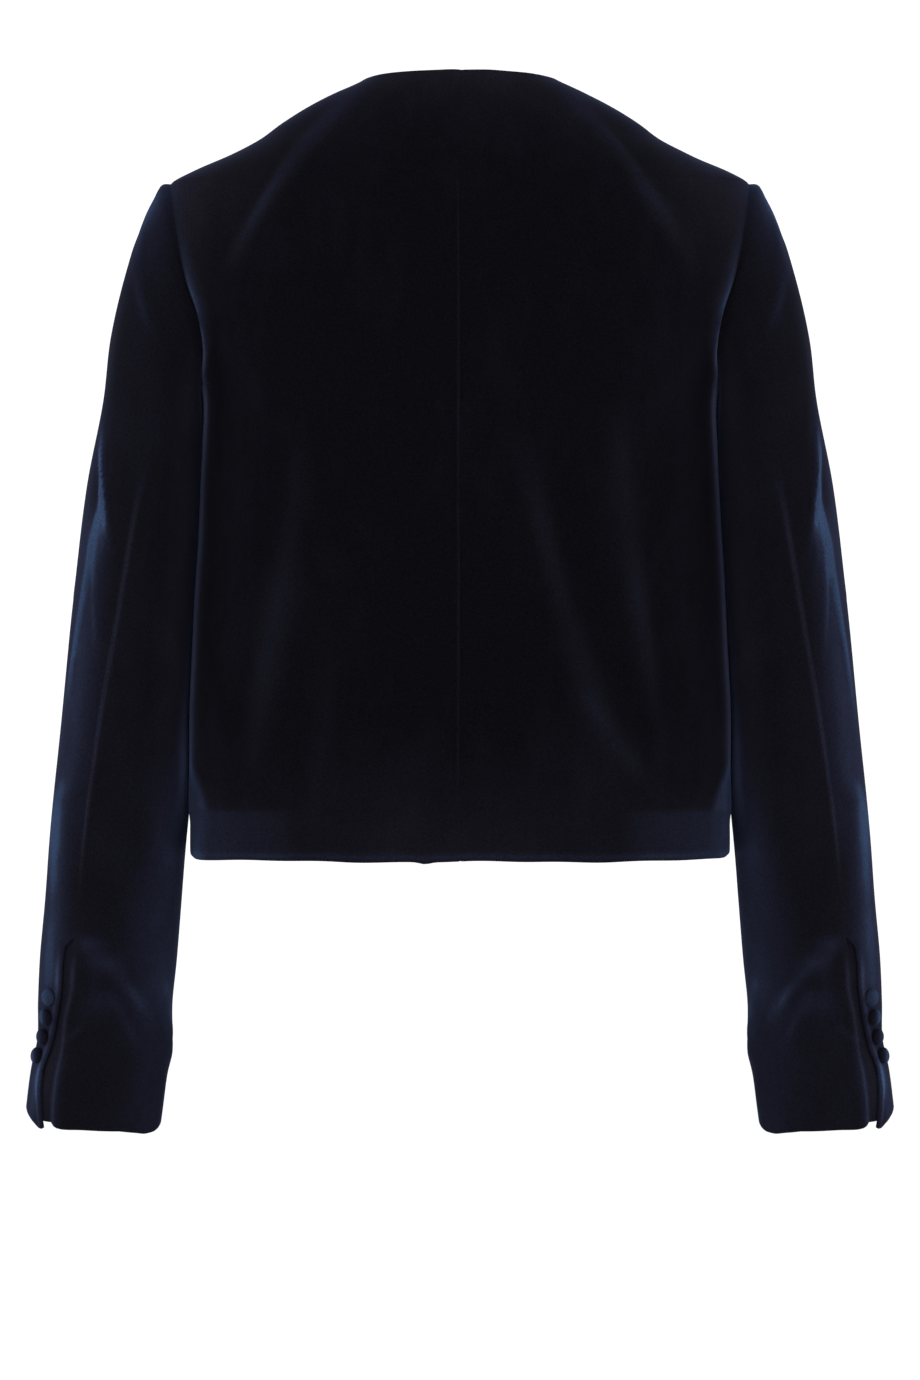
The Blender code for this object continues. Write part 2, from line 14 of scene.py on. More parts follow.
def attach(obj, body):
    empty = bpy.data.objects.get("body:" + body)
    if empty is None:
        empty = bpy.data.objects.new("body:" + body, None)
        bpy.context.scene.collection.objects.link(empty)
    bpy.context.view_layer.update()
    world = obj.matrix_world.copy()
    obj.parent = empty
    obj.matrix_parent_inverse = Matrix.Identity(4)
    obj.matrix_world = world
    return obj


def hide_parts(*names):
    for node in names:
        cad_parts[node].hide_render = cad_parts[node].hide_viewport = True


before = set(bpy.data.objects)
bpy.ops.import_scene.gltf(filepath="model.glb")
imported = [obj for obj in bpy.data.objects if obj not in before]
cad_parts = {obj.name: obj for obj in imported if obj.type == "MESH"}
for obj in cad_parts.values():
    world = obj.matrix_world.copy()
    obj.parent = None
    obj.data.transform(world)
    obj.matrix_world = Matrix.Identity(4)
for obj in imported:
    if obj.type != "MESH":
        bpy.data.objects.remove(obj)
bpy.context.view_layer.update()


# Back: two halves of cotton velvet, joined by a plain seam down the centre and turned up at the hem.
# The pile is short and nearly black, and shines blue where the cloth turns away from the eye.
# Each half hangs from its shoulder seam, and drags softly from the neck towards the armhole.

# The cloth, and the rows and columns that it is laid out on
CLOTH = 0.0014
CLOTH_PITCH = 0.0030
SHOULDER_PITCH = 0.0022
EDGE_STEPS = (0.0, 0.0006, 0.0014, 0.0024, 0.0037, 0.0054, 0.0076)
RIM_STEPS = 4
ARMHOLE_ROWS = 53
ROW_CLEAR = 0.00055
BACK_ACROSS = 0.235
BACK_SEED = 11

# Heights on the body, the armhole, the hem's turning, and how far a rolled edge reaches into its seam
HEM_Z = -0.4445
UNDERARM_Z = -0.135
SHOULDER_Z = -0.0015
NECK_SIDE_Z = 0.0664
NECK_BACK_Z = 0.0690
ARMHOLE_BACK = 0.062
ARMHOLE_HALF = (SHOULDER_Z - UNDERARM_Z) / 2
HEM_TURN = 0.030
HEM_SAG = 0.0010
SEAM_LAP = 0.0003

# Sections of the body from the hem to the neck: half width, depths along Y, roundness, and the arm's hollow
Level = namedtuple("Level", "height half_width back side front square hollow")
BODY_LEVELS = (
    Level(-0.4700, 0.1770, -0.1090, 0.000, 0.1100, 2.50, 0.0000),
    Level(-0.4300, 0.1788, -0.1085, 0.000, 0.1120, 2.50, 0.0015),
    Level(-0.3800, 0.1808, -0.1075, 0.000, 0.1155, 2.50, 0.0060),
    Level(-0.2880, 0.1770, -0.1088, -0.001, 0.1205, 2.50, 0.0058),
    Level(-0.2090, 0.1724, -0.1138, -0.002, 0.1235, 2.50, 0.0058),
    Level(-0.1760, 0.1706, -0.1162, -0.003, 0.1222, 2.52, 0.0053),
    Level(-0.1430, 0.1697, -0.1180, -0.004, 0.1194, 2.56, 0.0045),
    Level(-0.1150, 0.1735, -0.1188, -0.005, 0.1152, 2.62, 0.0020),
    Level(-0.0900, 0.1822, -0.1180, -0.006, 0.1102, 2.68, 0.0000),
    Level(-0.0670, 0.1930, -0.1152, -0.007, 0.1042, 2.70, 0.0000),
    Level(-0.0390, 0.1985, -0.1100, -0.008, 0.0955, 2.65, 0.0000),
    Level(-0.0200, 0.1966, -0.1048, -0.009, 0.0885, 2.58, 0.0000),
    Level(-0.0100, 0.1932, -0.1015, -0.0095, 0.0847, 2.54, 0.0000),
    Level(-0.0015, 0.1892, -0.0985, -0.010, 0.0813, 2.50, 0.0000),
    Level(0.0055, 0.1765, -0.0958, -0.010, 0.0785, 2.45, 0.0000),
    Level(0.0157, 0.1530, -0.0915, -0.011, 0.0740, 2.40, 0.0000),
    Level(0.0262, 0.1327, -0.0865, -0.011, 0.0690, 2.35, 0.0000),
    Level(0.0370, 0.1180, -0.0810, -0.012, 0.0635, 2.30, 0.0000),
    Level(0.0475, 0.1016, -0.0750, -0.012, 0.0575, 2.25, 0.0000),
    Level(0.0577, 0.0818, -0.0685, -0.012, 0.0510, 2.20, 0.0000),
    Level(0.0664, 0.0635, -0.0630, -0.012, 0.0455, 2.15, 0.0000),
    Level(0.0770, 0.0550, -0.0560, -0.012, 0.0400, 2.10, 0.0000),
)
HOLLOW_SPREAD = 0.030
SECTION_TURNS = 241

# Fine grid on which the body's form is looked up, and the steps over which its slope is taken
LOOKUP_STEP = 0.0005
LOOKUP_PLACES = 1201
LOOKUP_MARGIN = 0.008
LOOKUP_RIM = 1.001
PLACE_STEP = 0.012
HEIGHT_STEP = 0.0015

# Folds from (x0, z0) to (x1, z1), bowed at the middle: each is a soft ridge with a trough on one side of it.
# Shine says how strong a highlight is painted along the ridge.
Fold = namedtuple("Fold", "x0 z0 x1 z1 bow width depth trough shine")
BACK_FOLDS = (
    Fold(-0.057, 0.064, -0.153, -0.070, -0.008, 0.006, 0.0030, 0.5, 0.44),
    Fold(0.057, 0.064, 0.154, -0.070, 0.007, 0.006, 0.0030, -0.5, 0.31),
    Fold(-0.100, -0.155, -0.134, -0.385, 0.0035, 0.010, 0.0032, -0.4, 0.19),
    Fold(-0.119, -0.265, -0.135, -0.400, 0.000, 0.010, 0.0010, -0.3, 0.12),
    Fold(-0.080, -0.315, -0.096, -0.425, 0.000, 0.007, 0.0014, -0.3, 0.08),
    Fold(0.038, -0.165, 0.104, -0.395, -0.005, 0.010, 0.0036, 0.4, 0.26),
    Fold(0.074, -0.330, 0.124, -0.400, 0.000, 0.007, 0.0010, 0.2, 0.17),
    Fold(0.098, -0.140, 0.133, -0.385, -0.004, 0.009, 0.0032, 0.4, 0.25),
    Fold(-0.150, -0.100, -0.120, -0.190, 0.004, 0.012, 0.0012, 0.0, 0.04),
    Fold(0.150, -0.098, 0.118, -0.196, -0.004, 0.012, 0.0014, 0.0, 0.04),
    Fold(0.016, -0.060, 0.030, -0.210, 0.004, 0.010, 0.0010, 0.3, 0.06),
    Fold(-0.036, -0.350, -0.030, -0.440, 0.002, 0.010, 0.0010, 0.3, 0.03),
    Fold(0.070, -0.372, 0.078, -0.440, 0.002, 0.012, 0.0012, 0.0, 0.03),
)

# A fold's swelling along its length, the trough beside its ridge, and the strip of its ridge where the
# highlight is painted
FOLD_SWELL = 0.22
FOLD_SWELL_TURNS = 7
FOLD_SWELL_SHIFT = 1.7
FOLD_RISE = 0.8
TROUGH_AWAY = 1.9
TROUGH_WIDTH = 1.2
SHINE_WIDTH = 0.85
SHINE_SWELL = 0.25
SHINE_TURNS = 11

# Faint unevenness of the hanging cloth: how many waves, how wide and tall, and how high
RELIEF_WAVES = 9
RELIEF_WIDE = (0.022, 0.075)
RELIEF_TALL = (0.060, 0.190)
RELIEF_HEIGHT = 0.00022


def smooth_column(rows, key, value, at):
    """Values of a table's column at places on its key column, on a smooth curve through the rows."""
    xs = np.array([getattr(row, key) for row in rows])
    ys = np.array([getattr(row, value) for row in rows])
    steps = np.diff(xs)
    slopes = np.diff(ys) / steps
    tangents = np.concatenate([slopes[:1], slopes])
    tangents[1:-1] = (steps[:-1] * slopes[1:] + steps[1:] * slopes[:-1]) / (steps[:-1] + steps[1:])
    i = np.clip(np.searchsorted(xs, at) - 1, 0, len(xs) - 2)
    t = (at - xs[i]) / steps[i]
    start = (1 + 2 * t) * (1 - t) ** 2 * ys[i] + t * (1 - t) ** 2 * steps[i] * tangents[i]
    end = t * t * (3 - 2 * t) * ys[i + 1] + t * t * (t - 1) * steps[i] * tangents[i + 1]
    return start + end


def ease(t):
    """A smooth step from 0 to 1."""
    t = np.clip(t, 0, 1)
    return t * t * (3 - 2 * t)


def bell(distance, width):
    """1 at no distance, falling softly to nothing on both sides."""
    return np.exp(-((distance / width) ** 2))


def unit(vectors):
    return vectors / np.linalg.norm(vectors, axis=-1, keepdims=True)


class Fade(namedtuple("Fade", "amount length")):
    """An amount that dies away from an edge."""

    def at(self, distance):
        return self.amount * np.exp(-distance / self.length)


class Streak(namedtuple("Streak", "amount middle width")):
    """An amount that is full at one place and softly less on both sides of it."""

    def at(self, place):
        return self.amount * bell(place - self.middle, self.width)


class Ramp(namedtuple("Ramp", "amount start length")):
    """An amount that comes in from a start over a length, or backwards where the length is negative."""

    def at(self, place):
        return self.amount * ease((place - self.start) / self.length)


def lay_sections(heights, places):
    """Half sections of the body: x and y at even places from centre back to centre front, and lengths."""
    names = Level._fields[1:]
    level = {name: smooth_column(BODY_LEVELS, "height", name, heights)[:, None] for name in names}
    turns = np.linspace(0, math.pi / 2, SECTION_TURNS)
    power = 2 / level["square"]
    across = level["half_width"] * np.sin(turns) ** power
    deep = np.cos(turns).clip(0) ** power
    back_y = level["side"] + (level["back"] - level["side"]) * deep
    front_y = level["side"] + (level["front"] - level["side"]) * deep
    xs = np.concatenate([across, across[:, -2::-1]], axis=1)
    ys = np.concatenate([back_y, front_y[:, -2::-1]], axis=1)
    xs = xs - level["hollow"] * bell(ys - level["side"], HOLLOW_SPREAD)
    lengths = np.cumsum(np.hypot(np.diff(xs, axis=1), np.diff(ys, axis=1)), axis=1)
    lengths = np.concatenate([np.zeros((len(heights), 1)), lengths], axis=1)
    back = lengths[:, SECTION_TURNS - 1 : SECTION_TURNS]
    front = lengths[:, -1:] - back
    at = np.where(lengths <= back, lengths / back, 1 + (lengths - back) / front)
    even_x = np.array([np.interp(places, row, x) for row, x in zip(at, xs)])
    even_y = np.array([np.interp(places, row, y) for row, y in zip(at, ys)])
    return even_x, even_y, back[:, 0], front[:, 0]


lookup_heights = np.arange(HEM_Z - LOOKUP_MARGIN, NECK_BACK_Z + LOOKUP_MARGIN, LOOKUP_STEP)
lookup_places = np.linspace(0, 2, LOOKUP_PLACES)
lookup_x, lookup_y, back_lengths, front_lengths = lay_sections(lookup_heights, lookup_places)


def body_bare(place, height):
    """Points of the unfolded body: place is 0 at the centre back, 1 at the side and 2 in front."""
    turned = np.abs(place)
    over = turned > 2
    turned = np.where(over, 4 - turned, turned)
    sign = np.where((place < 0) ^ over, -1.0, 1.0)
    row = np.clip((height - lookup_heights[0]) / LOOKUP_STEP, 0, len(lookup_heights) - LOOKUP_RIM)
    column = np.clip(turned / lookup_places[1], 0, len(lookup_places) - LOOKUP_RIM)
    i, j = row.astype(int), column.astype(int)
    u, v = row - i, column - j
    values = []
    for grid in (lookup_x, lookup_y):
        low = grid[i, j] * (1 - v) + grid[i, j + 1] * v
        high = grid[i + 1, j] * (1 - v) + grid[i + 1, j + 1] * v
        values.append(low * (1 - u) + high * u)
    return np.stack([sign * values[0], values[1], height], axis=-1)


def body_out(place, height):
    """Outward normals of the unfolded body."""
    across = body_bare(place + PLACE_STEP, height) - body_bare(place - PLACE_STEP, height)
    up = body_bare(place, height + HEIGHT_STEP) - body_bare(place, height - HEIGHT_STEP)
    return unit(np.cross(across, up))


def soft_folds(folds, across, along):
    """How far the folds push the cloth out, and the highlight painted along their ridges, both a little
    uneven.
    """
    lift = np.zeros_like(across)
    painted_sheen = np.zeros_like(across)
    for number, fold in enumerate(folds):
        run = np.array([fold.x1 - fold.x0, fold.z1 - fold.z0])
        length = np.hypot(*run)
        run = run / length
        t = ((across - fold.x0) * run[0] + (along - fold.z0) * run[1]) / length
        aside = (along - fold.z0) * run[0] - (across - fold.x0) * run[1]
        t = np.clip(t, 0, 1)
        aside = aside - fold.bow * np.sin(math.pi * t)
        width = fold.width * (1 + FOLD_SWELL * np.sin(FOLD_SWELL_TURNS * t + FOLD_SWELL_SHIFT * number))
        rise = np.sin(math.pi * t) ** FOLD_RISE
        beside = aside - np.sign(fold.trough) * TROUGH_AWAY * width
        trough = abs(fold.trough) * bell(beside, TROUGH_WIDTH * width)
        lift += fold.depth * rise * (bell(aside, width) - trough)
        shine = fold.shine * (1 + SHINE_SWELL * np.sin(SHINE_TURNS * t + number))
        painted_sheen += shine * rise * bell(aside, SHINE_WIDTH * width)
    return lift, painted_sheen


def cloth_relief(across, along, seed, height=RELIEF_HEIGHT):
    """Faint unevenness of hanging cloth, longer down the cloth than across it."""
    draw = np.random.default_rng(seed)
    total = np.zeros_like(across)
    for _ in range(RELIEF_WAVES):
        wide = draw.uniform(*RELIEF_WIDE)
        tall = draw.uniform(*RELIEF_TALL)
        phase = draw.uniform(0, math.tau, 2)
        total += np.sin(math.tau * across / wide + phase[0]) * np.sin(math.tau * along / tall + phase[1])
    return total * height / 2


def stations(length, pitch=CLOTH_PITCH):
    """Shares of a length, close together at both ends so that an edge can roll over."""
    last = EDGE_STEPS[-1]
    count = max(2, round((length - 2 * last) / pitch))
    middle = np.linspace(last, length - last, count + 1)
    ends = np.array(EDGE_STEPS[:-1])
    return np.concatenate([ends, middle, length - ends[::-1]]) / length


def columns_between(start, end, width, pitch=CLOTH_PITCH):
    """Places across each row from its start to its end, laid out for cloth of a width."""
    return start[:, None] + (end - start)[:, None] * stations(width, pitch)


def body_rows(low, top):
    """Heights of a panel's rows: even, but closest where the armhole starts and ends."""
    below = low + (UNDERARM_Z - low) * stations(UNDERARM_Z - low)
    turn = np.linspace(0, math.pi, ARMHOLE_ROWS)
    armhole = UNDERARM_Z + ARMHOLE_HALF * (1 - np.cos(turn))
    above = SHOULDER_Z + (top - SHOULDER_Z) * stations(top - SHOULDER_Z, SHOULDER_PITCH)
    kept = [UNDERARM_Z, SHOULDER_Z, low, top]
    for height in [*below, *armhole, *above]:
        if low < height < top and min(abs(height - row) for row in kept) > ROW_CLEAR:
            kept.append(height)
    return np.array(sorted(kept))


def armhole_reach(height, reach):
    """How far the armhole cuts into a panel at each height."""
    off = np.clip((height - UNDERARM_Z - ARMHOLE_HALF) / ARMHOLE_HALF, -1, 1)
    return reach * np.sqrt(1 - off * off)


def length_at(lengths, height):
    """Length of half a back or front section, at each height."""
    return np.interp(height, lookup_heights, lengths)


# Shades of the pile: its own near-black at 0, then paler and bluer shades that paint its sheen, up to the
# brightest painted highlight
PILE_AND_SHEEN_SHADES = (
    (0.0, (0.00360, 0.00335, 0.00505)),
    (0.2, (0.00570, 0.00535, 0.00800)),
    (0.4, (0.00720, 0.00740, 0.01390)),
    (0.6, (0.00890, 0.01000, 0.01910)),
    (0.8, (0.01300, 0.01570, 0.03130)),
    (1.0, (0.02260, 0.03830, 0.08000)),
)
PILE_LOOK = {
    "Specular IOR Level": 0.0,
    "Sheen Weight": 0.8,
    "Sheen Roughness": 0.28,
    "Sheen Tint": (0.040, 0.048, 0.085, 1.0),
}

# The pile's pattern in repeats a metre: single tufts, brushed patches and places that were handled
TUFT_PATTERN = {"Scale": 1100.0, "Detail": 2.0}
PATCH_PATTERN = {"Scale": 60.0, "Detail": 6.0, "Roughness": 0.65}
HANDLED_PATTERN = {"Scale": 17.0, "Detail": 3.0}
NAP_STRETCH = (1.0, 1.0, 0.45)
NAP_UNEVEN = (-0.05, 0.05)
TUFT_GRAIN = (0.72, 1.28)
NOISE_MIDDLE = (0.3, 0.7)
PILE_ROUGHNESS = (0.98, 0.78)
TUFT_BUMP = {"Strength": 0.25, "Distance": 0.0003}

# The woven reverse: its two shades, its threads and their slubs
REVERSE_SHADES = ((0.0040, 0.0045, 0.0085, 1.0), (0.0085, 0.0095, 0.0165, 1.0))
REVERSE_LOOK = {
    "Roughness": 0.92,
    "Specular IOR Level": 0.12,
    "Sheen Weight": 0.15,
    "Sheen Tint": (0.12, 0.16, 0.28, 1.0),
}
THREAD_PATTERN = {"Scale": 330.0, "Distortion": 0.6}
SLUB_PATTERN = {"Scale": 620.0}
THREAD_BUMP = {"Strength": 0.35, "Distance": 0.0002}


def feed(node, inputs):
    """Sets a node's inputs, each to a value or to the output that feeds it."""
    for name, value in inputs.items():
        if isinstance(value, bpy.types.NodeSocket):
            node.id_data.links.new(value, node.inputs[name])
        else:
            node.inputs[name].default_value = value


def finish_node(material, kind, inputs, **settings):
    """A new node of a finish, with its settings made before its inputs are fed."""
    node = material.node_tree.nodes.new(f"ShaderNode{kind}")
    for name, value in settings.items():
        setattr(node, name, value)
    feed(node, inputs)
    return node


def spread(material, noise, reach):
    """The middle of a noise, spread over a reach."""
    ends = dict(zip(("From Min", "From Max", "To Min", "To Max"), (*NOISE_MIDDLE, *reach)))
    return finish_node(material, "MapRange", {**ends, "Value": noise}).outputs["Result"]


def velvet_finish():
    """Cut pile velvet: a near-black ground, painted sheen and highlights on the folds and edges, painted
    light that lifts shaded places, and a blue sheen.
    """
    material = bpy.data.materials.new("navy_velvet_pile")
    material.use_nodes = True
    place = finish_node(material, "TexCoord", {}).outputs["Object"]
    nap = finish_node(material, "Mapping", {"Scale": NAP_STRETCH, "Vector": place}).outputs["Vector"]
    patches = finish_node(material, "TexNoise", {**PATCH_PATTERN, "Vector": nap}).outputs["Fac"]
    handled = finish_node(material, "TexNoise", {**HANDLED_PATTERN, "Vector": nap}).outputs["Fac"]
    tufts = finish_node(material, "TexNoise", {**TUFT_PATTERN, "Vector": place}).outputs["Fac"]
    # Painted sheen and painted light, carried on the mesh: the first picks a paler, bluer shade, the second
    # multiplies the colour
    painted_sheen = finish_node(material, "Attribute", {}, attribute_name="painted_sheen_tone").outputs["Fac"]
    lifted = finish_node(material, "Attribute", {}, attribute_name="painted_light_gain").outputs["Fac"]
    swept = {0: spread(material, patches, NAP_UNEVEN), 1: spread(material, handled, NAP_UNEVEN)}
    uneven = finish_node(material, "Math", swept, operation="ADD").outputs["Value"]
    sheen_and_noise = finish_node(material, "Math", {0: painted_sheen, 1: uneven}, operation="ADD").outputs["Value"]
    shades = finish_node(material, "ValToRGB", {"Fac": sheen_and_noise})
    while len(shades.color_ramp.elements) < len(PILE_AND_SHEEN_SHADES):
        shades.color_ramp.elements.new(0.5)
    for stop, (position, shade) in zip(shades.color_ramp.elements, PILE_AND_SHEEN_SHADES):
        stop.position = position
        stop.color = (*shade, 1.0)
    grain = spread(material, tufts, TUFT_GRAIN)
    grain_and_painted_light = finish_node(material, "Math", {0: lifted, 1: grain, 2: grain}, operation="MULTIPLY_ADD")
    mixed = {"Factor": 1.0, "A": shades.outputs["Color"], "B": grain_and_painted_light.outputs["Value"]}
    colour = finish_node(material, "Mix", mixed, data_type="RGBA", blend_type="MULTIPLY")
    wear = dict(zip(("To Min", "To Max"), PILE_ROUGHNESS))
    worn = finish_node(material, "MapRange", {**wear, "Value": patches})
    bump = finish_node(material, "Bump", {**TUFT_BUMP, "Height": tufts})
    surface = {
        "Base Color": colour.outputs["Result"],
        "Roughness": worn.outputs["Result"],
        "Normal": bump.outputs["Normal"],
    }
    feed(material.node_tree.nodes["Principled BSDF"], {**surface, **PILE_LOOK})
    return material


def reverse_finish():
    """Wrong side of the velvet: the plain woven ground, dull and without pile."""
    material = bpy.data.materials.new("velvet_woven_reverse")
    material.use_nodes = True
    place = finish_node(material, "TexCoord", {}).outputs["Object"]
    threads = finish_node(material, "TexWave", {**THREAD_PATTERN, "Vector": place}, bands_direction="Z")
    slubs = finish_node(material, "TexNoise", {**SLUB_PATTERN, "Vector": place})
    shades = finish_node(material, "ValToRGB", {"Fac": slubs.outputs["Fac"]})
    for stop, shade in zip(shades.color_ramp.elements, REVERSE_SHADES):
        stop.color = shade
    bump = finish_node(material, "Bump", {**THREAD_BUMP, "Height": threads.outputs["Fac"]})
    surface = {"Base Color": shades.outputs["Color"], "Normal": bump.outputs["Normal"]}
    feed(material.node_tree.nodes["Principled BSDF"], {**surface, **REVERSE_LOOK})
    return material


velvet_pile = velvet_finish()
velvet_reverse = reverse_finish()


def cloth_shell(name, outer, thickness, painted_sheen, lifted, side):
    """A closed shell on a grid of outer points: pile outside, woven reverse inside, and rolled edges."""
    rows, columns = outer.shape[:2]
    out = unit(np.cross(np.gradient(outer, axis=1), np.gradient(outer, axis=0)))
    inner = outer - out * thickness[..., None]
    count = rows * columns
    index = np.arange(count).reshape(rows, columns)
    loop = np.concatenate([index[0, :-1], index[:-1, -1], index[-1, :0:-1], index[:0:-1, 0]])
    edge_out = out.reshape(-1, 3)[loop]
    middle = (outer.reshape(-1, 3)[loop] + inner.reshape(-1, 3)[loop]) / 2
    half = thickness.reshape(-1, 1)[loop] / 2
    away = unit(np.cross(np.roll(middle, -1, axis=0) - np.roll(middle, 1, axis=0), edge_out))
    points = [outer.reshape(-1, 3), inner.reshape(-1, 3)]
    rings = [loop]
    for step in range(1, RIM_STEPS):
        turn = math.pi * step / RIM_STEPS
        points.append(middle + edge_out * half * math.cos(turn) + away * half * math.sin(turn))
        rings.append(2 * count + (step - 1) * len(loop) + np.arange(len(loop)))
    rings.append(count + loop)
    corner = index[:-1, :-1].ravel()
    pile = np.stack([corner, corner + 1, corner + 1 + columns, corner + columns], axis=1)
    reverse = count + pile[:, ::-1]
    rim = [
        np.stack([np.roll(first, -1), first, second, np.roll(second, -1)], axis=1)
        for first, second in zip(rings, rings[1:])
    ]
    faces = np.concatenate([pile, *rim, reverse])
    points = np.concatenate(points) * np.array([side, 1, 1])
    if side < 0:
        faces = faces[:, ::-1]
    mesh = bpy.data.meshes.new(name)
    mesh.from_pydata(points.tolist(), [], faces.tolist())
    mesh.materials.append(velvet_pile)
    mesh.materials.append(velvet_reverse)
    finish = np.zeros(len(faces), dtype=np.int32)
    finish[-len(reverse) :] = 1
    mesh.polygons.foreach_set("material_index", finish)
    # Painted sheen and painted light go on the points of the pile and its rolled edges, none on the reverse
    for key, grid in (("painted_sheen_tone", painted_sheen), ("painted_light_gain", lifted)):
        painted_values = np.zeros(len(points), dtype=np.float32)
        painted_values[:count] = grid.ravel()
        painted_values[2 * count :] = np.tile(grid.ravel()[loop], RIM_STEPS - 1)
        mesh.attributes.new(key, "FLOAT", "POINT").data.foreach_set("value", painted_values)
    mesh.shade_smooth()
    piece = bpy.data.objects.new(name, mesh)
    bpy.context.scene.collection.objects.link(piece)
    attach(piece, "root")
    return piece


def top_outline(x):
    """Height of the shoulder seam, or of the neck, at a distance from the centre."""
    levels = [level for level in BODY_LEVELS if SHOULDER_Z <= level.height <= NECK_SIDE_Z]
    widths = [level.half_width for level in reversed(levels)]
    return np.interp(np.abs(x), widths, [level.height for level in reversed(levels)])


# Shape of the back and fronts: tucks at the seams, a roll beside the armhole, and the turned hem.
# Depths are below the shoulder's level. The lap and the ply at the neck go by height instead.
SIDE_FADE = Streak(1.0, 1.0, 0.12)
SEAM_TUCK = 0.0007
SEAM_TUCK_WIDTH = 0.0030
CENTRE_TUCK = Streak(0.6 * SEAM_TUCK, 0.0, SEAM_TUCK_WIDTH)
ARMHOLE_TUCK = Streak(0.5 * SEAM_TUCK, 0.0, SEAM_TUCK_WIDTH)
CENTRE_LAP = Ramp(1.0, -0.04, 0.06)
CENTRE_PULL = Streak(0.0008, 0.0, 0.016)
CENTRE_PULL_STARTS = Ramp(1.0, -NECK_BACK_Z, 0.08)
BACK_ARMHOLE = Streak(1.0, 0.082, 0.034)
BACK_ROLL = Streak(0.0028, 0.0065, 0.0060)
HEM_EDGE = Ramp(1.0, HEM_TURN, 0.004)
HEM_STEP = Ramp(0.0004, 0.0, 0.004)
HEM_PLY = Ramp(1.0, HEM_TURN, 0.002)
NECK_PLY = Streak(1.0, NECK_BACK_Z, 0.010)

# How far the body's side stands out where the arm hangs against it
SIDE_STANDS = Streak(0.0032, 1.0, 0.22)
ARM_MEETS = Ramp(1.0, 0.112, 0.026)
ARM_LEAVES = Ramp(1.0, 0.4235, -0.016)
ARM_PRESSES_LEAST = 0.62
ARM_PRESSES_MORE = Ramp(0.38, 0.39, -0.05)

# Ripples of a hem, its rise at the side seam, and its small dip beside the centre seam
Ripple = namedtuple("Ripple", "height turns shift")
BACK_RIPPLES = (Ripple(0.0005, 46, 0.8), Ripple(0.0003, 121, 0.0))
HEM_SIDE_RISE = Streak(0.0024, 0.0, 0.0030)
HEM_DIP = Streak(-0.0014, -0.0225, 0.0045)
HEM_WAVE = Fade(1.0, 0.010)

# Painted sheen of the back and fronts: paler and bluer down from the neck and shoulder seam and up from the
# hem, and on the hem band, its corners and its edge
NECK_TONE = Fade(0.12, 0.016)
SHOULDER_TONE = Fade(0.26, 0.016)
YOKE_TONE = Fade(0.10, 0.045)
LOWER_TONE = Ramp(0.14, 0.335, 0.09)
HEM_TONE = Ramp(0.04, 0.048, -0.048)
ON_SHOULDER = Ramp(1.0, 0.045, 0.025)
HEM_CORNER = Ramp(1.0, 0.125, 0.045)
BACK_BAND = Ramp(0.23, 0.098, 0.026)
BACK_BAND_CORNER = 0.17
BAND_GLOW = Streak(0.08, HEM_TURN, 0.014)
BAND_END = Ramp(0.22, 0.018, -0.014)
BACK_HEM_LINE = Streak(0.34, 0.0032, 0.0020)
HEM_LINE_CORNER = 0.7

# Painted highlights beside the seams: the side by the arm, its flare above the hem, the armhole, and a
# painted highlight with a painted shade line beside the centre seam
ARM_LINE_STARTS = Ramp(1.0, 0.092, 0.02)
ARM_LINE_HEM = 0.7
ARM_LINE_ENDS = Ramp(1.0, 0.362, 0.034)
BACK_SIDE_LINE = Streak(0.46, 0.0, 0.0040)
SIDE_HAZE = Streak(0.08, 0.0, 0.030)
FLARE_STARTS = Ramp(1.0, 0.362, 0.030)
FLARE_TONE = 0.76
FLARE_DIMS = Ramp(0.165, 0.388, 0.024)
FLARE_LEAST = 0.0028
FLARE_WIDENS = Ramp(0.0102, 0.378, 0.038)
FLARE_EDGE = 0.0050
BACK_ARMHOLE_LINE = Streak(0.80, 0.0045, 0.0058)
ARMHOLE_HAZE = Streak(0.16, 0.0, 0.024)
ARMHOLE_HAZE_ENDS = Ramp(1.0, 0.11, -0.03)
CENTRE_SEAM_STARTS = Ramp(1.0, -0.012, 0.05)
CENTRE_SEAM_FADES = Ramp(0.9, 0.367, 0.04)
CENTRE_SEAM_LIGHT = Streak(0.22, 0.0008, 0.0013)
CENTRE_SEAM_SHADE = Streak(0.10, 0.0034, 0.0010)

# Painted light, a gain on the colour: paler top edges, shoulder point and hem, and a painted gleam down the
# side
TOP_PALE = Fade(0.20, 0.040)
NECK_PALE = Fade(0.40, 0.014)
POINT_PALE = Streak(0.40, 0.165, 0.045)
POINT_DEPTH = Streak(1.0, 0.015, 0.038)
HEM_PALE = Ramp(0.20, 0.062, -0.062)
BACK_SIDE_PALE = Streak(0.6, 0.0, 0.0055)
GLEAM_LINE = Streak(1.0, 0.0006, 0.0017)
GLEAM_RISES = Ramp(15.0, 0.106, 0.018)
GLEAM_SETTLES = Ramp(9.6, 0.130, 0.080)
GLEAM_PEAK = Streak(4.5, 0.100, 0.010)
GLEAM_DIMS = Ramp(0.5, 0.310, 0.045)

Lay = namedtuple(
    "Lay", "place height bare x from_middle depth above_hem below_top from_side in_hem along_arm"
)


def lay_panel(side, place, height):
    """A panel's points before it folds, and how far each one is from the edges."""
    bare = body_bare(place, height)
    x = side * bare[..., 0]
    above_hem = height - HEM_Z
    in_hem = 1 - HEM_EDGE.at(above_hem)
    return Lay(
        place=place,
        height=height,
        bare=bare,
        x=x,
        from_middle=np.abs(x),
        depth=-height,
        above_hem=above_hem,
        below_top=np.clip(top_outline(x) - height, 0, None),
        from_side=bare[..., 0].max(axis=1, keepdims=True) - bare[..., 0],
        in_hem=in_hem,
        along_arm=ARM_LINE_STARTS.at(-height) * (1 - ARM_LINE_HEM * in_hem),
    )


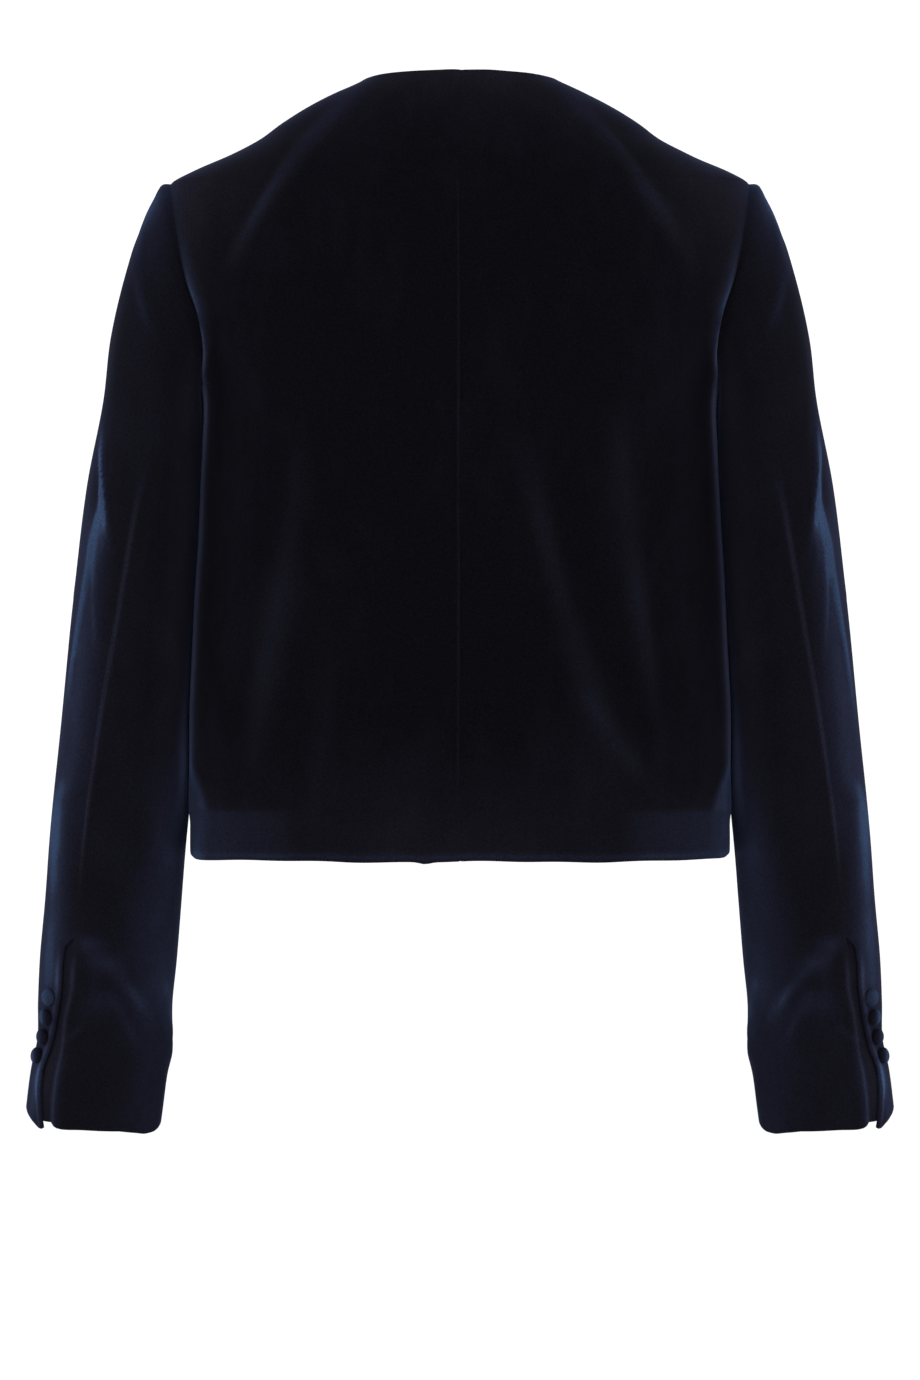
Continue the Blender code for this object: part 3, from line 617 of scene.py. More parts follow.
def hang_panel(lay, lift, ripples):
    """Outer points of a panel: lifted by its folds, pushed out beside the arm, and rippled at the hem."""
    pushed = ARM_MEETS.at(lay.depth) * ARM_LEAVES.at(lay.depth)
    pushed = pushed * (ARM_PRESSES_LEAST + ARM_PRESSES_MORE.at(lay.depth)) * SIDE_STANDS.at(lay.place)
    lift = lift + HEM_STEP.at(lay.above_hem) * lay.in_hem + pushed
    outer = lay.bare + body_out(lay.place, lay.height) * lift[..., None]
    wave = sum(ripple.height * np.sin(ripple.turns * lay.x + ripple.shift) for ripple in ripples)
    wave = wave + HEM_SIDE_RISE.at(lay.from_side) - HEM_SAG
    outer[..., 2] += wave * HEM_WAVE.at(lay.above_hem)
    return outer


def panel_tone(lay, on_shoulder):
    """Painted sheen and painted light that the back and the fronts share, besides their folds."""
    painted_sheen = NECK_TONE.at(lay.below_top) + SHOULDER_TONE.at(lay.below_top) * on_shoulder
    painted_sheen = painted_sheen + YOKE_TONE.at(lay.below_top) + LOWER_TONE.at(lay.depth) + HEM_TONE.at(lay.above_hem)
    lifted = TOP_PALE.at(lay.below_top) + POINT_PALE.at(lay.from_middle) * POINT_DEPTH.at(lay.depth)
    return painted_sheen, lifted


def back_tone(lay, side, from_centre, from_edge):
    """Painted sheen and painted light of a back half, besides its folds."""
    on_shoulder = ON_SHOULDER.at(lay.from_middle)
    hem_corner = HEM_CORNER.at(lay.from_middle)
    above_band = 1 - lay.in_hem
    painted_sheen, lifted = panel_tone(lay, on_shoulder)
    painted_sheen += lay.in_hem * (BACK_BAND.at(lay.from_middle) + BACK_BAND_CORNER * hem_corner)
    painted_sheen += lay.in_hem * BAND_END.at(lay.from_side)
    painted_sheen += above_band * hem_corner * BAND_GLOW.at(lay.above_hem)
    painted_sheen += BACK_HEM_LINE.at(lay.above_hem) * (1 - HEM_LINE_CORNER * hem_corner)
    along_arm = lay.along_arm * (1 - ARM_LINE_ENDS.at(lay.depth))
    painted_sheen += along_arm * (BACK_SIDE_LINE.at(lay.from_side) + SIDE_HAZE.at(lay.from_side))
    flare = above_band * FLARE_STARTS.at(lay.depth) * (FLARE_TONE - FLARE_DIMS.at(lay.depth))
    flare_width = FLARE_LEAST + FLARE_WIDENS.at(lay.depth)
    painted_sheen += flare * ease((flare_width - lay.from_side) / FLARE_EDGE + 0.5)
    painted_sheen += BACK_ARMHOLE_LINE.at(from_edge) * BACK_ARMHOLE.at(lay.depth)
    painted_sheen += ARMHOLE_HAZE.at(from_edge) * ARMHOLE_HAZE_ENDS.at(lay.depth)
    if side < 0:
        seam_shows = CENTRE_SEAM_STARTS.at(lay.depth) * (1 - CENTRE_SEAM_FADES.at(lay.depth))
        painted_sheen += seam_shows * (CENTRE_SEAM_LIGHT.at(from_centre) - CENTRE_SEAM_SHADE.at(from_centre))
    lifted += (1 - on_shoulder) * (NECK_PALE.at(lay.below_top) + HEM_PALE.at(lay.above_hem))
    gleam = GLEAM_RISES.at(lay.depth) - GLEAM_SETTLES.at(lay.depth) + GLEAM_PEAK.at(lay.depth)
    gleam = gleam * (1 - GLEAM_DIMS.at(lay.depth)) * GLEAM_LINE.at(lay.from_side)
    lifted += along_arm * (gleam + BACK_SIDE_PALE.at(lay.from_side))
    return painted_sheen, lifted


def back_panel(word, side, seed):
    """Half of the back, from the centre seam to the armhole and the side seam."""
    edge = CLOTH / 2
    heights = body_rows(HEM_Z + CLOTH, NECK_BACK_Z - edge)
    length = length_at(back_lengths, heights)
    reach = np.where(heights < SHOULDER_Z, armhole_reach(heights, ARMHOLE_BACK), 0.0)
    start = (edge - SEAM_LAP * (1 + CENTRE_LAP.at(heights))) / length
    end = 1 - (reach + edge - SEAM_LAP) / length
    place = columns_between(start, end, BACK_ACROSS)
    fall = ease((heights - SHOULDER_Z) / (NECK_BACK_Z - SHOULDER_Z)) * (NECK_BACK_Z - NECK_SIDE_Z)
    height = heights[:, None] - fall[:, None] * place * place
    lay = lay_panel(side, place, height)
    from_centre = place * length[:, None]
    from_edge = (end[:, None] - place) * length[:, None]
    lift, painted_sheen = soft_folds(BACK_FOLDS, lay.x, height)
    lift = (lift + cloth_relief(lay.x, height, seed)) * (1 - SIDE_FADE.at(place))
    lift -= CENTRE_TUCK.at(from_centre) + ARMHOLE_TUCK.at(from_edge)
    lift -= CENTRE_PULL.at(from_centre) * CENTRE_PULL_STARTS.at(lay.depth)
    lift += BACK_ROLL.at(from_edge) * BACK_ARMHOLE.at(lay.depth)
    outer = hang_panel(lay, lift, BACK_RIPPLES)
    outer[..., 2] += HEM_DIP.at(lay.x) * HEM_WAVE.at(lay.above_hem)
    thickness = CLOTH * (2 - HEM_PLY.at(lay.above_hem) + NECK_PLY.at(height))
    tone, lifted = back_tone(lay, side, from_centre, from_edge)
    panel = cloth_shell(f"velvet_back_{word}", outer, thickness, painted_sheen + tone, lifted, side)
    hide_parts(f"back_{word}")
    return panel


# The wearer's two sides: the sign of X
SIDES = (("right", 1), ("left", -1))

for word, side in SIDES:
    back_panel(word, side, BACK_SEED + side)


# Fronts: two halves worn edge to edge, cut to a round neck, with plain turned edges and no fastening.
# They are the same velvet as the back, and join it at the shoulder and side seams.
# The cloth swings softly from the bust to the hem, so the edges part a little lower down.

# The neckline's depth, width and roundness, the rows added round it, and the open edge's place and flare
NECK_FRONT_Z = -0.026
NECK_HALF_WIDTH = 0.0635
NECK_ROUND = 1.7
NECK_CORNER = 0.0006
NECK_ROWS = 24
NECK_ROW_CLEAR = 0.0007
NECK_PLACES = 801
ARMHOLE_FRONT = 0.058
FRONT_EDGE = 0.0015
FRONT_FLARE = 0.0035
FRONT_ACROSS = 0.240
FRONT_SEED = 31

# Folds of the fronts, from the armholes to the bust and from the bust to the hem
FRONT_FOLDS = (
    Fold(-0.142, -0.095, -0.078, -0.190, 0.004, 0.011, 0.0027, 0.3, 0.20),
    Fold(0.142, -0.095, 0.078, -0.190, -0.004, 0.011, 0.0027, -0.3, 0.20),
    Fold(-0.088, -0.215, -0.112, -0.425, 0.006, 0.011, 0.0035, 0.4, 0.23),
    Fold(0.084, -0.220, 0.106, -0.430, -0.006, 0.011, 0.0035, -0.4, 0.23),
    Fold(-0.036, -0.260, -0.044, -0.436, 0.003, 0.010, 0.0022, 0.3, 0.16),
    Fold(0.040, -0.255, 0.052, -0.432, -0.004, 0.010, 0.0022, -0.3, 0.16),
    Fold(-0.120, -0.020, -0.070, -0.070, 0.003, 0.009, 0.0014, 0.0, 0.14),
    Fold(0.122, -0.018, 0.070, -0.074, -0.003, 0.009, 0.0014, 0.0, 0.14),
)

# Shape of a front: flat along its open edge, tucked at the side seam, rolled beside the armhole
EDGE_FLAT = Ramp(1.0, -0.010, 0.05)
EDGE_PLY = Streak(1.0, 0.0, 0.012)
FULL_TUCK = Streak(SEAM_TUCK, 0.0, SEAM_TUCK_WIDTH)
FRONT_ARMHOLE = Streak(1.0, 0.086, 0.036)
FRONT_ROLL = Streak(0.0016, 0.0065, 0.0060)
FRONT_RIPPLES = (Ripple(0.0005, 52, 2.0), Ripple(0.0003, 113, 0.0))

# Painted sheen and painted light of a front
FRONT_BAND = Ramp(0.14, 0.050, 0.100)
FRONT_BAND_CORNER = 0.16
FRONT_HEM_LINE = Streak(0.30, 0.0032, 0.0020)
FRONT_EDGE_LINE = Streak(0.30, 0.0020, 0.0020)
FRONT_SIDE_LINE = Streak(0.70, 0.0, 0.0036)
FRONT_SIDE_PALE = Streak(0.80, 0.0, 0.0055)
FRONT_ARMHOLE_LINE = Streak(0.60, 0.0045, 0.0058)


def neck_place(heights):
    """Where the front neckline crosses each height, as a place round the section."""
    down = np.clip((NECK_SIDE_Z - heights) / (NECK_SIDE_Z - NECK_FRONT_Z), 0, 1)
    across = NECK_HALF_WIDTH * (1 - down**NECK_ROUND) ** (1 / NECK_ROUND)
    fine = np.linspace(1, 2, NECK_PLACES)
    found = []
    for height, x in zip(heights, across):
        xs = body_bare(fine, np.full_like(fine, height))[:, 0]
        found.append(np.interp(x, xs[::-1], fine[::-1]))
    return np.array(found)


def front_tone(lay, from_seam, from_edge):
    """Painted sheen and painted light of a front, besides its folds."""
    painted_sheen, lifted = panel_tone(lay, 1.0)
    hem_corner = HEM_CORNER.at(lay.from_middle)
    painted_sheen += lay.in_hem * (FRONT_BAND.at(lay.from_middle) + FRONT_BAND_CORNER * hem_corner)
    painted_sheen += FRONT_HEM_LINE.at(lay.above_hem) + FRONT_EDGE_LINE.at(from_edge)
    painted_sheen += FRONT_SIDE_LINE.at(lay.from_side) * lay.along_arm
    painted_sheen += FRONT_ARMHOLE_LINE.at(from_seam) * FRONT_ARMHOLE.at(lay.depth)
    lifted += FRONT_SIDE_PALE.at(lay.from_side) * lay.along_arm
    return painted_sheen, lifted


def front_panel(word, side, seed):
    """One front, from the armhole and the side seam to its open edge."""
    heights = body_rows(HEM_Z + CLOTH, NECK_SIDE_Z - NECK_CORNER - CLOTH / 2)
    neck_turns = np.linspace(0, math.pi / 2, NECK_ROWS)[:-1]
    neck_rows = NECK_SIDE_Z - (NECK_SIDE_Z - NECK_FRONT_Z) * np.cos(neck_turns)
    extra = [row for row in neck_rows if np.abs(heights - row).min() > NECK_ROW_CLEAR and row < heights[-1]]
    heights = np.sort(np.concatenate([heights, extra]))
    length = length_at(front_lengths, heights)
    reach = np.where(heights < SHOULDER_Z, armhole_reach(heights, ARMHOLE_FRONT), 0.0)
    start = 1 + (reach + CLOTH / 2 - SEAM_LAP) / length
    down = np.clip((NECK_FRONT_Z - heights) / (NECK_FRONT_Z - HEM_Z), 0, 1)
    end = 2 - (FRONT_EDGE + FRONT_FLARE * down) / length
    end = np.where(heights > NECK_FRONT_Z, np.minimum(end, neck_place(heights)), end) - CLOTH / length
    place = columns_between(start, end, FRONT_ACROSS)
    height = np.broadcast_to(heights[:, None], place.shape)
    lay = lay_panel(side, place, height)
    from_seam = (place - start[:, None]) * length[:, None]
    from_edge = (end[:, None] - place) * length[:, None]
    lift, painted_sheen = soft_folds(FRONT_FOLDS, lay.x, height)
    lift = (lift + cloth_relief(lay.x, height, seed)) * (1 - SIDE_FADE.at(place)) * EDGE_FLAT.at(from_edge)
    lift -= FULL_TUCK.at(from_seam)
    lift += FRONT_ROLL.at(from_seam) * FRONT_ARMHOLE.at(lay.depth)
    outer = hang_panel(lay, lift, FRONT_RIPPLES)
    thickness = CLOTH * (1 + np.maximum(1 - HEM_PLY.at(lay.above_hem), EDGE_PLY.at(from_edge)))
    tone, lifted = front_tone(lay, from_seam, from_edge)
    panel = cloth_shell(f"velvet_front_{word}", outer, thickness, painted_sheen + tone, lifted, side)
    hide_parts(f"front_{word}")
    return panel


for word, side in SIDES:
    front_panel(word, side, FRONT_SEED + side)


# Sleeves: two pieces each, a wide top sleeve and a narrow under sleeve, eased into the armhole at the head.
# The back seam runs from the armhole to the cuff, where it is left open as a vent over an underlap.
# The arm hangs a little bent, so the cloth creases at the elbow and breaks into folds above the cuff.

# Rings down the arm: outer and inner points, middle and half depth along Y, drop of the back, and roundness
Ring = namedtuple("Ring", "along outer_x outer_z inner_x inner_z mid half drop square")
SLEEVE_RINGS = (
    Ring(0.000, 0.1892, -0.0015, 0.1665, -0.1350, -0.005, 0.060, 0.000, 2.00),
    Ring(0.007, 0.1958, -0.0020, 0.1666, -0.1360, -0.005, 0.061, 0.000, 2.00),
    Ring(0.016, 0.2006, -0.0122, 0.1667, -0.1380, -0.005, 0.062, 0.000, 2.05),
    Ring(0.044, 0.2120, -0.0385, 0.1668, -0.1450, -0.005, 0.064, 0.000, 2.10),
    Ring(0.072, 0.2208, -0.0645, 0.1669, -0.1550, -0.005, 0.066, 0.000, 2.15),
    Ring(0.112, 0.2300, -0.1035, 0.1672, -0.1720, -0.005, 0.067, 0.000, 2.20),
    Ring(0.152, 0.2346, -0.1430, 0.1678, -0.1930, -0.005, 0.066, 0.000, 2.25),
    Ring(0.210, 0.2455, -0.2000, 0.1690, -0.2300, -0.006, 0.063, 0.000, 2.30),
    Ring(0.290, 0.2550, -0.2800, 0.1730, -0.2970, -0.006, 0.059, 0.000, 2.30),
    Ring(0.364, 0.2629, -0.3540, 0.1762, -0.3630, 0.000, 0.054, 0.002, 2.30),
    Ring(0.405, 0.2674, -0.3940, 0.1780, -0.4000, 0.005, 0.051, 0.003, 2.30),
    Ring(0.445, 0.2714, -0.4340, 0.1815, -0.4370, 0.010, 0.048, 0.004, 2.30),
    Ring(0.486, 0.2750, -0.4740, 0.1844, -0.4770, 0.016, 0.045, 0.005, 2.30),
    Ring(0.524, 0.2787, -0.5125, 0.1880, -0.5150, 0.022, 0.043, 0.005, 2.30),
    Ring(0.553, 0.2802, -0.5410, 0.1912, -0.5430, 0.027, 0.041, 0.005, 2.30),
    Ring(0.579, 0.2812, -0.5675, 0.1918, -0.5700, 0.031, 0.040, 0.005, 2.30),
    Ring(0.593, 0.2844, -0.5810, 0.1938, -0.5835, 0.033, 0.039, 0.005, 2.40),
    Ring(0.629, 0.2895, -0.6165, 0.1994, -0.6232, 0.038, 0.038, 0.005, 2.90),
)
SLEEVE_LENGTH = SLEEVE_RINGS[-1].along

# A sleeve's cloth: the radius that turns angles into distance, its columns, its head and its normals' steps
SLEEVE_RADIUS = 0.045
SLEEVE_ACROSS = {"top": 0.190, "under": 0.150}
SLEEVE_SEEDS = {"top": 51, "under": 52}
SLEEVE_RELIEF = 0.00016
CAP_BLEND = 0.110
HEAD_START = 0.0002
HEAD_GAP = 0.0003
HEM_ROOM = 0.006
TURN_STEP = 0.01
ALONG_STEP = 0.0006

# Degrees round the arm: 0 is the outer side, 90 the back, 180 the inner side and -90 the front
Seam = namedtuple("Seam", "along back front")
SLEEVE_SEAMS = (
    Seam(0.000, 90.0, -108.0),
    Seam(0.180, 89.0, -116.0),
    Seam(0.290, 80.5, -120.0),
    Seam(0.364, 71.5, -123.0),
    Seam(0.455, 66.0, -126.0),
    Seam(0.629, 65.5, -130.0),
)

# How many degrees the vent's two edges stand outward of the seam's line
Vent = namedtuple("Vent", "along top under")
CUFF_VENT = (
    Vent(0.503, 0.0, 0.0),
    Vent(0.508, 8.5, 1.0),
    Vent(0.518, 11.5, 2.6),
    Vent(0.539, 11.5, 2.6),
    Vent(0.561, 16.5, 8.5),
    Vent(0.577, 23.5, 11.0),
    Vent(0.592, 28.5, 10.5),
    Vent(0.606, 27.5, 9.0),
    Vent(0.618, 20.0, 7.0),
    Vent(0.629, 11.0, 4.0),
)
VENT_ALONG = CUFF_VENT[0].along

# Folds of a sleeve, made like the body's, between places given by degrees and distance along the arm
SleeveFold = namedtuple("SleeveFold", "angle0 along0 angle1 along1 bow width depth trough shine")
SLEEVE_FOLDS = (
    SleeveFold(12.0, 0.034, 86.0, 0.080, 0.002, 0.009, 0.0012, 0.0, 0.28),
    SleeveFold(10.0, 0.016, 52.0, 0.050, 0.002, 0.006, 0.0009, 0.3, 0.12),
    SleeveFold(28.0, 0.166, 69.0, 0.252, -0.002, 0.0034, 0.0018, -0.6, 0.74),
    SleeveFold(56.0, 0.188, 26.0, 0.360, 0.000, 0.0036, 0.0020, -0.4, 0.34),
    SleeveFold(45.0, 0.238, 65.0, 0.325, 0.000, 0.0032, 0.0012, 0.4, 0.28),
    SleeveFold(-70.0, 0.250, 0.0, 0.290, 0.003, 0.010, 0.0030, 0.3, 0.30),
    SleeveFold(-80.0, 0.300, -10.0, 0.325, 0.003, 0.010, 0.0026, 0.3, 0.26),
    SleeveFold(64.0, 0.500, 130.0, 0.562, -0.0045, 0.0052, 0.0028, 0.5, 0.33),
    SleeveFold(108.0, 0.531, 142.0, 0.568, -0.001, 0.0048, 0.0020, 0.5, 0.07),
    SleeveFold(90.0, 0.535, 120.0, 0.578, -0.001, 0.004, 0.0020, 0.5, 0.24),
    SleeveFold(82.0, 0.514, 87.0, 0.552, 0.000, 0.003, 0.0008, 0.3, 0.12),
    SleeveFold(56.0, 0.574, 78.0, 0.560, 0.001, 0.003, 0.0014, 0.4, 0.24),
    SleeveFold(143.0, 0.526, 178.0, 0.574, 0.002, 0.005, 0.0016, 0.4, 0.16),
    SleeveFold(150.0, 0.560, 200.0, 0.600, 0.002, 0.008, 0.0014, 0.2, 0.16),
    SleeveFold(118.0, 0.290, 160.0, 0.330, 0.002, 0.009, 0.0010, 0.3, 0.05),
    SleeveFold(110.0, 0.380, 150.0, 0.470, 0.003, 0.010, 0.0010, 0.2, 0.05),
)


class Patch(namedtuple("Patch", "angle along wide long amount")):
    """An amount that is full at one place on the arm and softly less all round it."""

    def at(self, degrees, along):
        return self.amount * bell(degrees - self.angle, self.wide) * bell(along - self.along, self.long)


# Patches of painted highlight on a sleeve
SLEEVE_PATCHES = (
    Patch(6.0, 0.014, 44.0, 0.028, 0.78),
    Patch(10.0, 0.046, 30.0, 0.022, 0.20),
    Patch(24.0, 0.062, 10.0, 0.011, 0.20),
    Patch(80.0, 0.506, 9.0, 0.004, 0.28),
    Patch(92.0, 0.519, 10.0, 0.007, 0.20),
    Patch(86.0, 0.548, 15.0, 0.009, 0.18),
    Patch(150.0, 0.545, 26.0, 0.030, 0.07),
    Patch(172.0, 0.559, 16.0, 0.011, 0.18),
)

# Painted highlight strip down the outer side of a sleeve: how much it shines, and how many degrees back it
# reaches
Strip = namedtuple("Strip", "along shine reach")
SLEEVE_STRIP = (
    Strip(0.140, 0.00, 26.0),
    Strip(0.172, 0.50, 37.0),
    Strip(0.198, 0.46, 38.0),
    Strip(0.218, 0.46, 45.0),
    Strip(0.237, 0.51, 56.0),
    Strip(0.256, 0.58, 62.0),
    Strip(0.295, 0.55, 61.0),
    Strip(0.321, 0.58, 63.0),
    Strip(0.347, 0.61, 62.0),
    Strip(0.385, 0.54, 62.0),
    Strip(0.400, 0.47, 57.0),
    Strip(0.416, 0.62, 39.0),
    Strip(0.430, 0.80, 39.0),
    Strip(0.445, 0.80, 44.0),
    Strip(0.464, 0.77, 47.0),
    Strip(0.484, 0.66, 51.0),
    Strip(0.504, 0.70, 54.0),
    Strip(0.535, 0.68, 54.0),
    Strip(0.570, 0.48, 42.0),
    Strip(0.600, 0.69, 46.0),
    Strip(0.629, 0.64, 46.0),
)
STRIP_FADE = 18.0
STRIP_FRONT = Ramp(1.0, -60.0, 50.0)
STRIP_DIMS = Ramp(0.45, 34.0, -34.0)

# Painted highlight in a bright wedge where the sleeve bends at the elbow: its two sides in degrees round the
# arm
Wedge = namedtuple("Wedge", "along left right")
ELBOW_WEDGE = (
    Wedge(0.176, 20.0, 28.0),
    Wedge(0.190, 35.0, 43.0),
    Wedge(0.203, 44.5, 52.5),
    Wedge(0.215, 48.0, 57.5),
    Wedge(0.238, 45.0, 63.0),
    Wedge(0.258, 42.0, 65.0),
)
WEDGE_EDGE = 4.0
WEDGE_SHINE = 0.46
WEDGE_PALE = 0.32
WEDGE_STARTS = Ramp(1.0, 0.176, 0.014)
WEDGE_ENDS = Ramp(1.0, 0.264, -0.036)

# How far the cuff's hem stands below an even edge, at degrees round the arm
CUFF_HEM = {
    "top": ((-90.0, 0.0), (-20.0, -0.0025), (8.0, -0.0048), (26.0, -0.0022), (50.0, 0.0030)),
    "under": (
        (60.0, 0.0040), (68.0, 0.0036), (85.0, 0.0014), (107.0, 0.0004), (125.0, 0.0012),
        (138.0, 0.0022), (155.0, 0.0020), (175.0, 0.0005), (185.0, 0.0), (250.0, 0.0),
    ),
}
CUFF_SHAPED = Ramp(1.0, SLEEVE_LENGTH - 0.040, 0.040)
CUFF_CORNER = {"top": Fade(0.0, 0.0048), "under": Fade(0.0085, 0.0048)}
CUFF_PLY = Ramp(1.0, SLEEVE_LENGTH - HEM_TURN, -0.002)

# Turning at the sleeve's head, inside the body: how far its rows reach in, and how deep it lies
TURNING_STEPS = (0.0070, 0.0040, 0.0018, 0.0007)
TURNING_SINK = 0.0024

# Shape of a sleeve: the back seam, the eased head, the vent's edges and the flatter inner side
BACK_SEAM_SHOWS = Ramp(1.0, 0.15, 0.06)
BACK_SEAM_HIDES = Ramp(0.8, 0.36, 0.06)
BACK_SEAM_LAP = 2.0
BACK_SEAM_OPENS = 0.3
BACK_SEAM_TUCK = Streak(0.3 * SEAM_TUCK, 0.0, SEAM_TUCK_WIDTH)
HEAD_TUCK = Streak(0.4 * SEAM_TUCK, 0.0, SEAM_TUCK_WIDTH)
HEAD_EASE = Ramp(1.0, 0.0, 0.020)
CAP_DIP = Streak(0.0008, 0.0090, 0.0050)
CAP_DIP_POWER = 0.6
VENT_OPENS = Ramp(1.0, VENT_ALONG, 0.012)
VENT_ROLL = Streak(0.0007, 0.004, 0.004)
VENT_PLY = Streak(0.4, 0.0, 0.010)
INNER_FLAT = Streak(0.0030, 180.0, 36.0)
INNER_FLAT_STARTS = Ramp(1.0, 0.012, 0.045)
INNER_FLAT_ENDS = Ramp(1.0, 0.425, -0.090)
SLEEVE_SWELLS = (Patch(180.0, 0.140, 40.0, 0.080, 0.0018), Patch(146.0, 0.055, 20.0, 0.045, 0.0016))

# Painted sheen of a sleeve: all over it, on the inner side below the elbow where it also lifts the shade
# beside the body, and painted highlight lines beside the vent and back seam
SLEEVE_TONE = 0.20
INNER_START = ((0.28, 150.0), (0.36, 132.0), (0.405, 118.0), (0.455, 96.0), (0.480, 88.0))
INNER_FADE = ((0.28, 24.0), (0.405, 34.0), (0.470, 50.0))
INNER_ENDS = Ramp(1.0, 240.0, -40.0)
INNER_TONE = Ramp(0.46, 0.27, 0.13)
INNER_DIMS = Ramp(0.22, 0.535, 0.038)
FOREARM_TONE = Streak(0.24, 0.420, 0.026)
FOREARM_SIDE = Ramp(1.0, -30.0, 40.0)
VENT_LINE = Streak(0.15, 0.0028, 0.0020)
VENT_LINE_STARTS = Ramp(1.0, 0.509, 0.020)
VENT_FOOT = Streak(0.30, 0.0040, 0.0045)
VENT_FOOT_STARTS = Ramp(1.0, 0.570, 0.025)
BACK_SEAM_LINE = Streak(0.12, 0.0006, 0.0014)

# Painted light on a sleeve, a gain on its colour: it lifts the shade on the inner side beside the body, and
# paints highlights at the bend of the elbow, the vent and the back seam
INNER_PALE = 1.6
INNER_PALE_DIMS = Ramp(0.5, 0.08, 0.06)
INNER_PALE_SIDE = Ramp(1.0, 104.0, 42.0)
ELBOW_PALE = Streak(8.0, 0.376, 0.042)
ELBOW_PALE_SIDE = Ramp(1.0, 140.0, 24.0)
PALE_FRONT = Ramp(1.0, 235.0, -30.0)
PALE_ENDS = Ramp(1.0, 0.41, 0.05)
VENT_PALE = Streak(0.8, 0.0024, 0.0016)
BACK_SEAM_PALE = Streak(0.70, 0.0003, 0.0009)
BACK_SEAM_PALE_STARTS = Ramp(1.0, 0.18, 0.06)
BACK_SEAM_PALE_ENDS = Ramp(1.0, 0.435, 0.050)


def from_rows(rows, at, column=1):
    """A column of a table at places on its first column, straight between the rows."""
    table = np.array(rows)
    return np.interp(at, table[:, 0], table[:, column])


def sleeve_ring(angle, along):
    """Points of the sleeve's rings, before the head is eased into the armhole."""
    ring = {name: smooth_column(SLEEVE_RINGS, "along", name, along) for name in Ring._fields[1:]}
    power = 2 / ring["square"]
    outward = np.sign(np.cos(angle)) * np.abs(np.cos(angle)) ** power
    back = np.sign(np.sin(angle)) * np.abs(np.sin(angle)) ** power
    x = (ring["outer_x"] + ring["inner_x"]) / 2 + (ring["outer_x"] - ring["inner_x"]) / 2 * outward
    z = (ring["outer_z"] + ring["inner_z"]) / 2 + (ring["outer_z"] - ring["inner_z"]) / 2 * outward
    return np.stack([x, ring["mid"] - ring["half"] * back, z - ring["drop"] * back], axis=-1)


def armhole_edge(angle, inward=0.0):
    """Place and height on the body of the armhole's edge, or further in, at angles round the arm."""
    height = UNDERARM_Z + ARMHOLE_HALF + (ARMHOLE_HALF + inward) * np.cos(angle)
    across = np.abs(np.sin(angle))
    into_back = (ARMHOLE_BACK + inward) * across / length_at(back_lengths, height)
    into_front = (ARMHOLE_FRONT + inward) * across / length_at(front_lengths, height)
    return np.where(np.sin(angle) >= 0, 1 - into_back, 1 + into_front), height


def sleeve_bare(angle, along):
    """Points of the unfolded sleeve: it starts on the armhole's edge and eases into the rings."""
    along = np.clip(along, 0, SLEEVE_LENGTH + HEM_ROOM)
    share = (1 - ease(along / CAP_BLEND))[..., None]
    shift = body_bare(*armhole_edge(angle)) - sleeve_ring(angle, np.zeros_like(along))
    return sleeve_ring(angle, along) + share * (shift + np.array([HEAD_GAP, 0, 0]))


def sleeve_turning(angle, depth):
    """Points of the turning at the sleeve's head, which lies flat inside the body."""
    place, height = armhole_edge(angle, depth)
    sink = TURNING_SINK * ease(depth / TURNING_STEPS[2])
    return body_bare(place, height) - body_out(place, height) * sink[..., None]


def sleeve_out(angle, along):
    """Outward normals of the unfolded sleeve."""
    round_arm = sleeve_bare(angle + TURN_STEP, along) - sleeve_bare(angle - TURN_STEP, along)
    down_arm = sleeve_bare(angle, along + ALONG_STEP) - sleeve_bare(angle, along - ALONG_STEP)
    return unit(np.cross(round_arm, down_arm))


def sleeve_folds(angle, along, seed):
    """Lift and painted highlight of the sleeve's folds, with degrees turned into distance round the arm."""
    lift = cloth_relief(SLEEVE_RADIUS * angle, along, seed, SLEEVE_RELIEF)
    painted_sheen = np.zeros_like(lift)
    for row in SLEEVE_FOLDS:
        middle = math.radians(row.angle0 + row.angle1) / 2
        near = middle + np.remainder(angle - middle + math.pi, math.tau) - math.pi
        ends = [SLEEVE_RADIUS * math.radians(turn) for turn in (row.angle0, row.angle1)]
        fold = Fold(ends[0], row.along0, ends[1], row.along1, *row[4:])
        lifted, fold_painted_sheen = soft_folds((fold,), SLEEVE_RADIUS * near, along)
        lift += lifted
        painted_sheen += fold_painted_sheen
    return lift, painted_sheen


def seam_turns(along, column):
    """Angles of the back or front seam."""
    return np.radians(smooth_column(SLEEVE_SEAMS, "along", column, along))


def vent_turns(along, column):
    """Angles of a vent edge, which leaves the back seam where the vent starts."""
    open_by = smooth_column(CUFF_VENT, "along", column, np.maximum(along, VENT_ALONG))
    return seam_turns(along, "back") - np.radians(open_by)


def sleeve_edges(part, along, shown):
    """Angles of a sleeve piece's two edges, in the order front, outer side, back and inner side."""
    front = seam_turns(along, "front")
    vent = vent_turns(along, part)
    front_inset = (CLOTH / 2 - SEAM_LAP) / SLEEVE_RADIUS
    back_inset = (CLOTH / 2 - SEAM_LAP * (BACK_SEAM_LAP - BACK_SEAM_OPENS * shown)) / SLEEVE_RADIUS
    if part == "top":
        return front + front_inset, vent - back_inset
    return vent + back_inset, front + math.tau - front_inset


SleeveLay = namedtuple("SleeveLay", "part angle degrees along from_vent from_front in_vent on_seam")


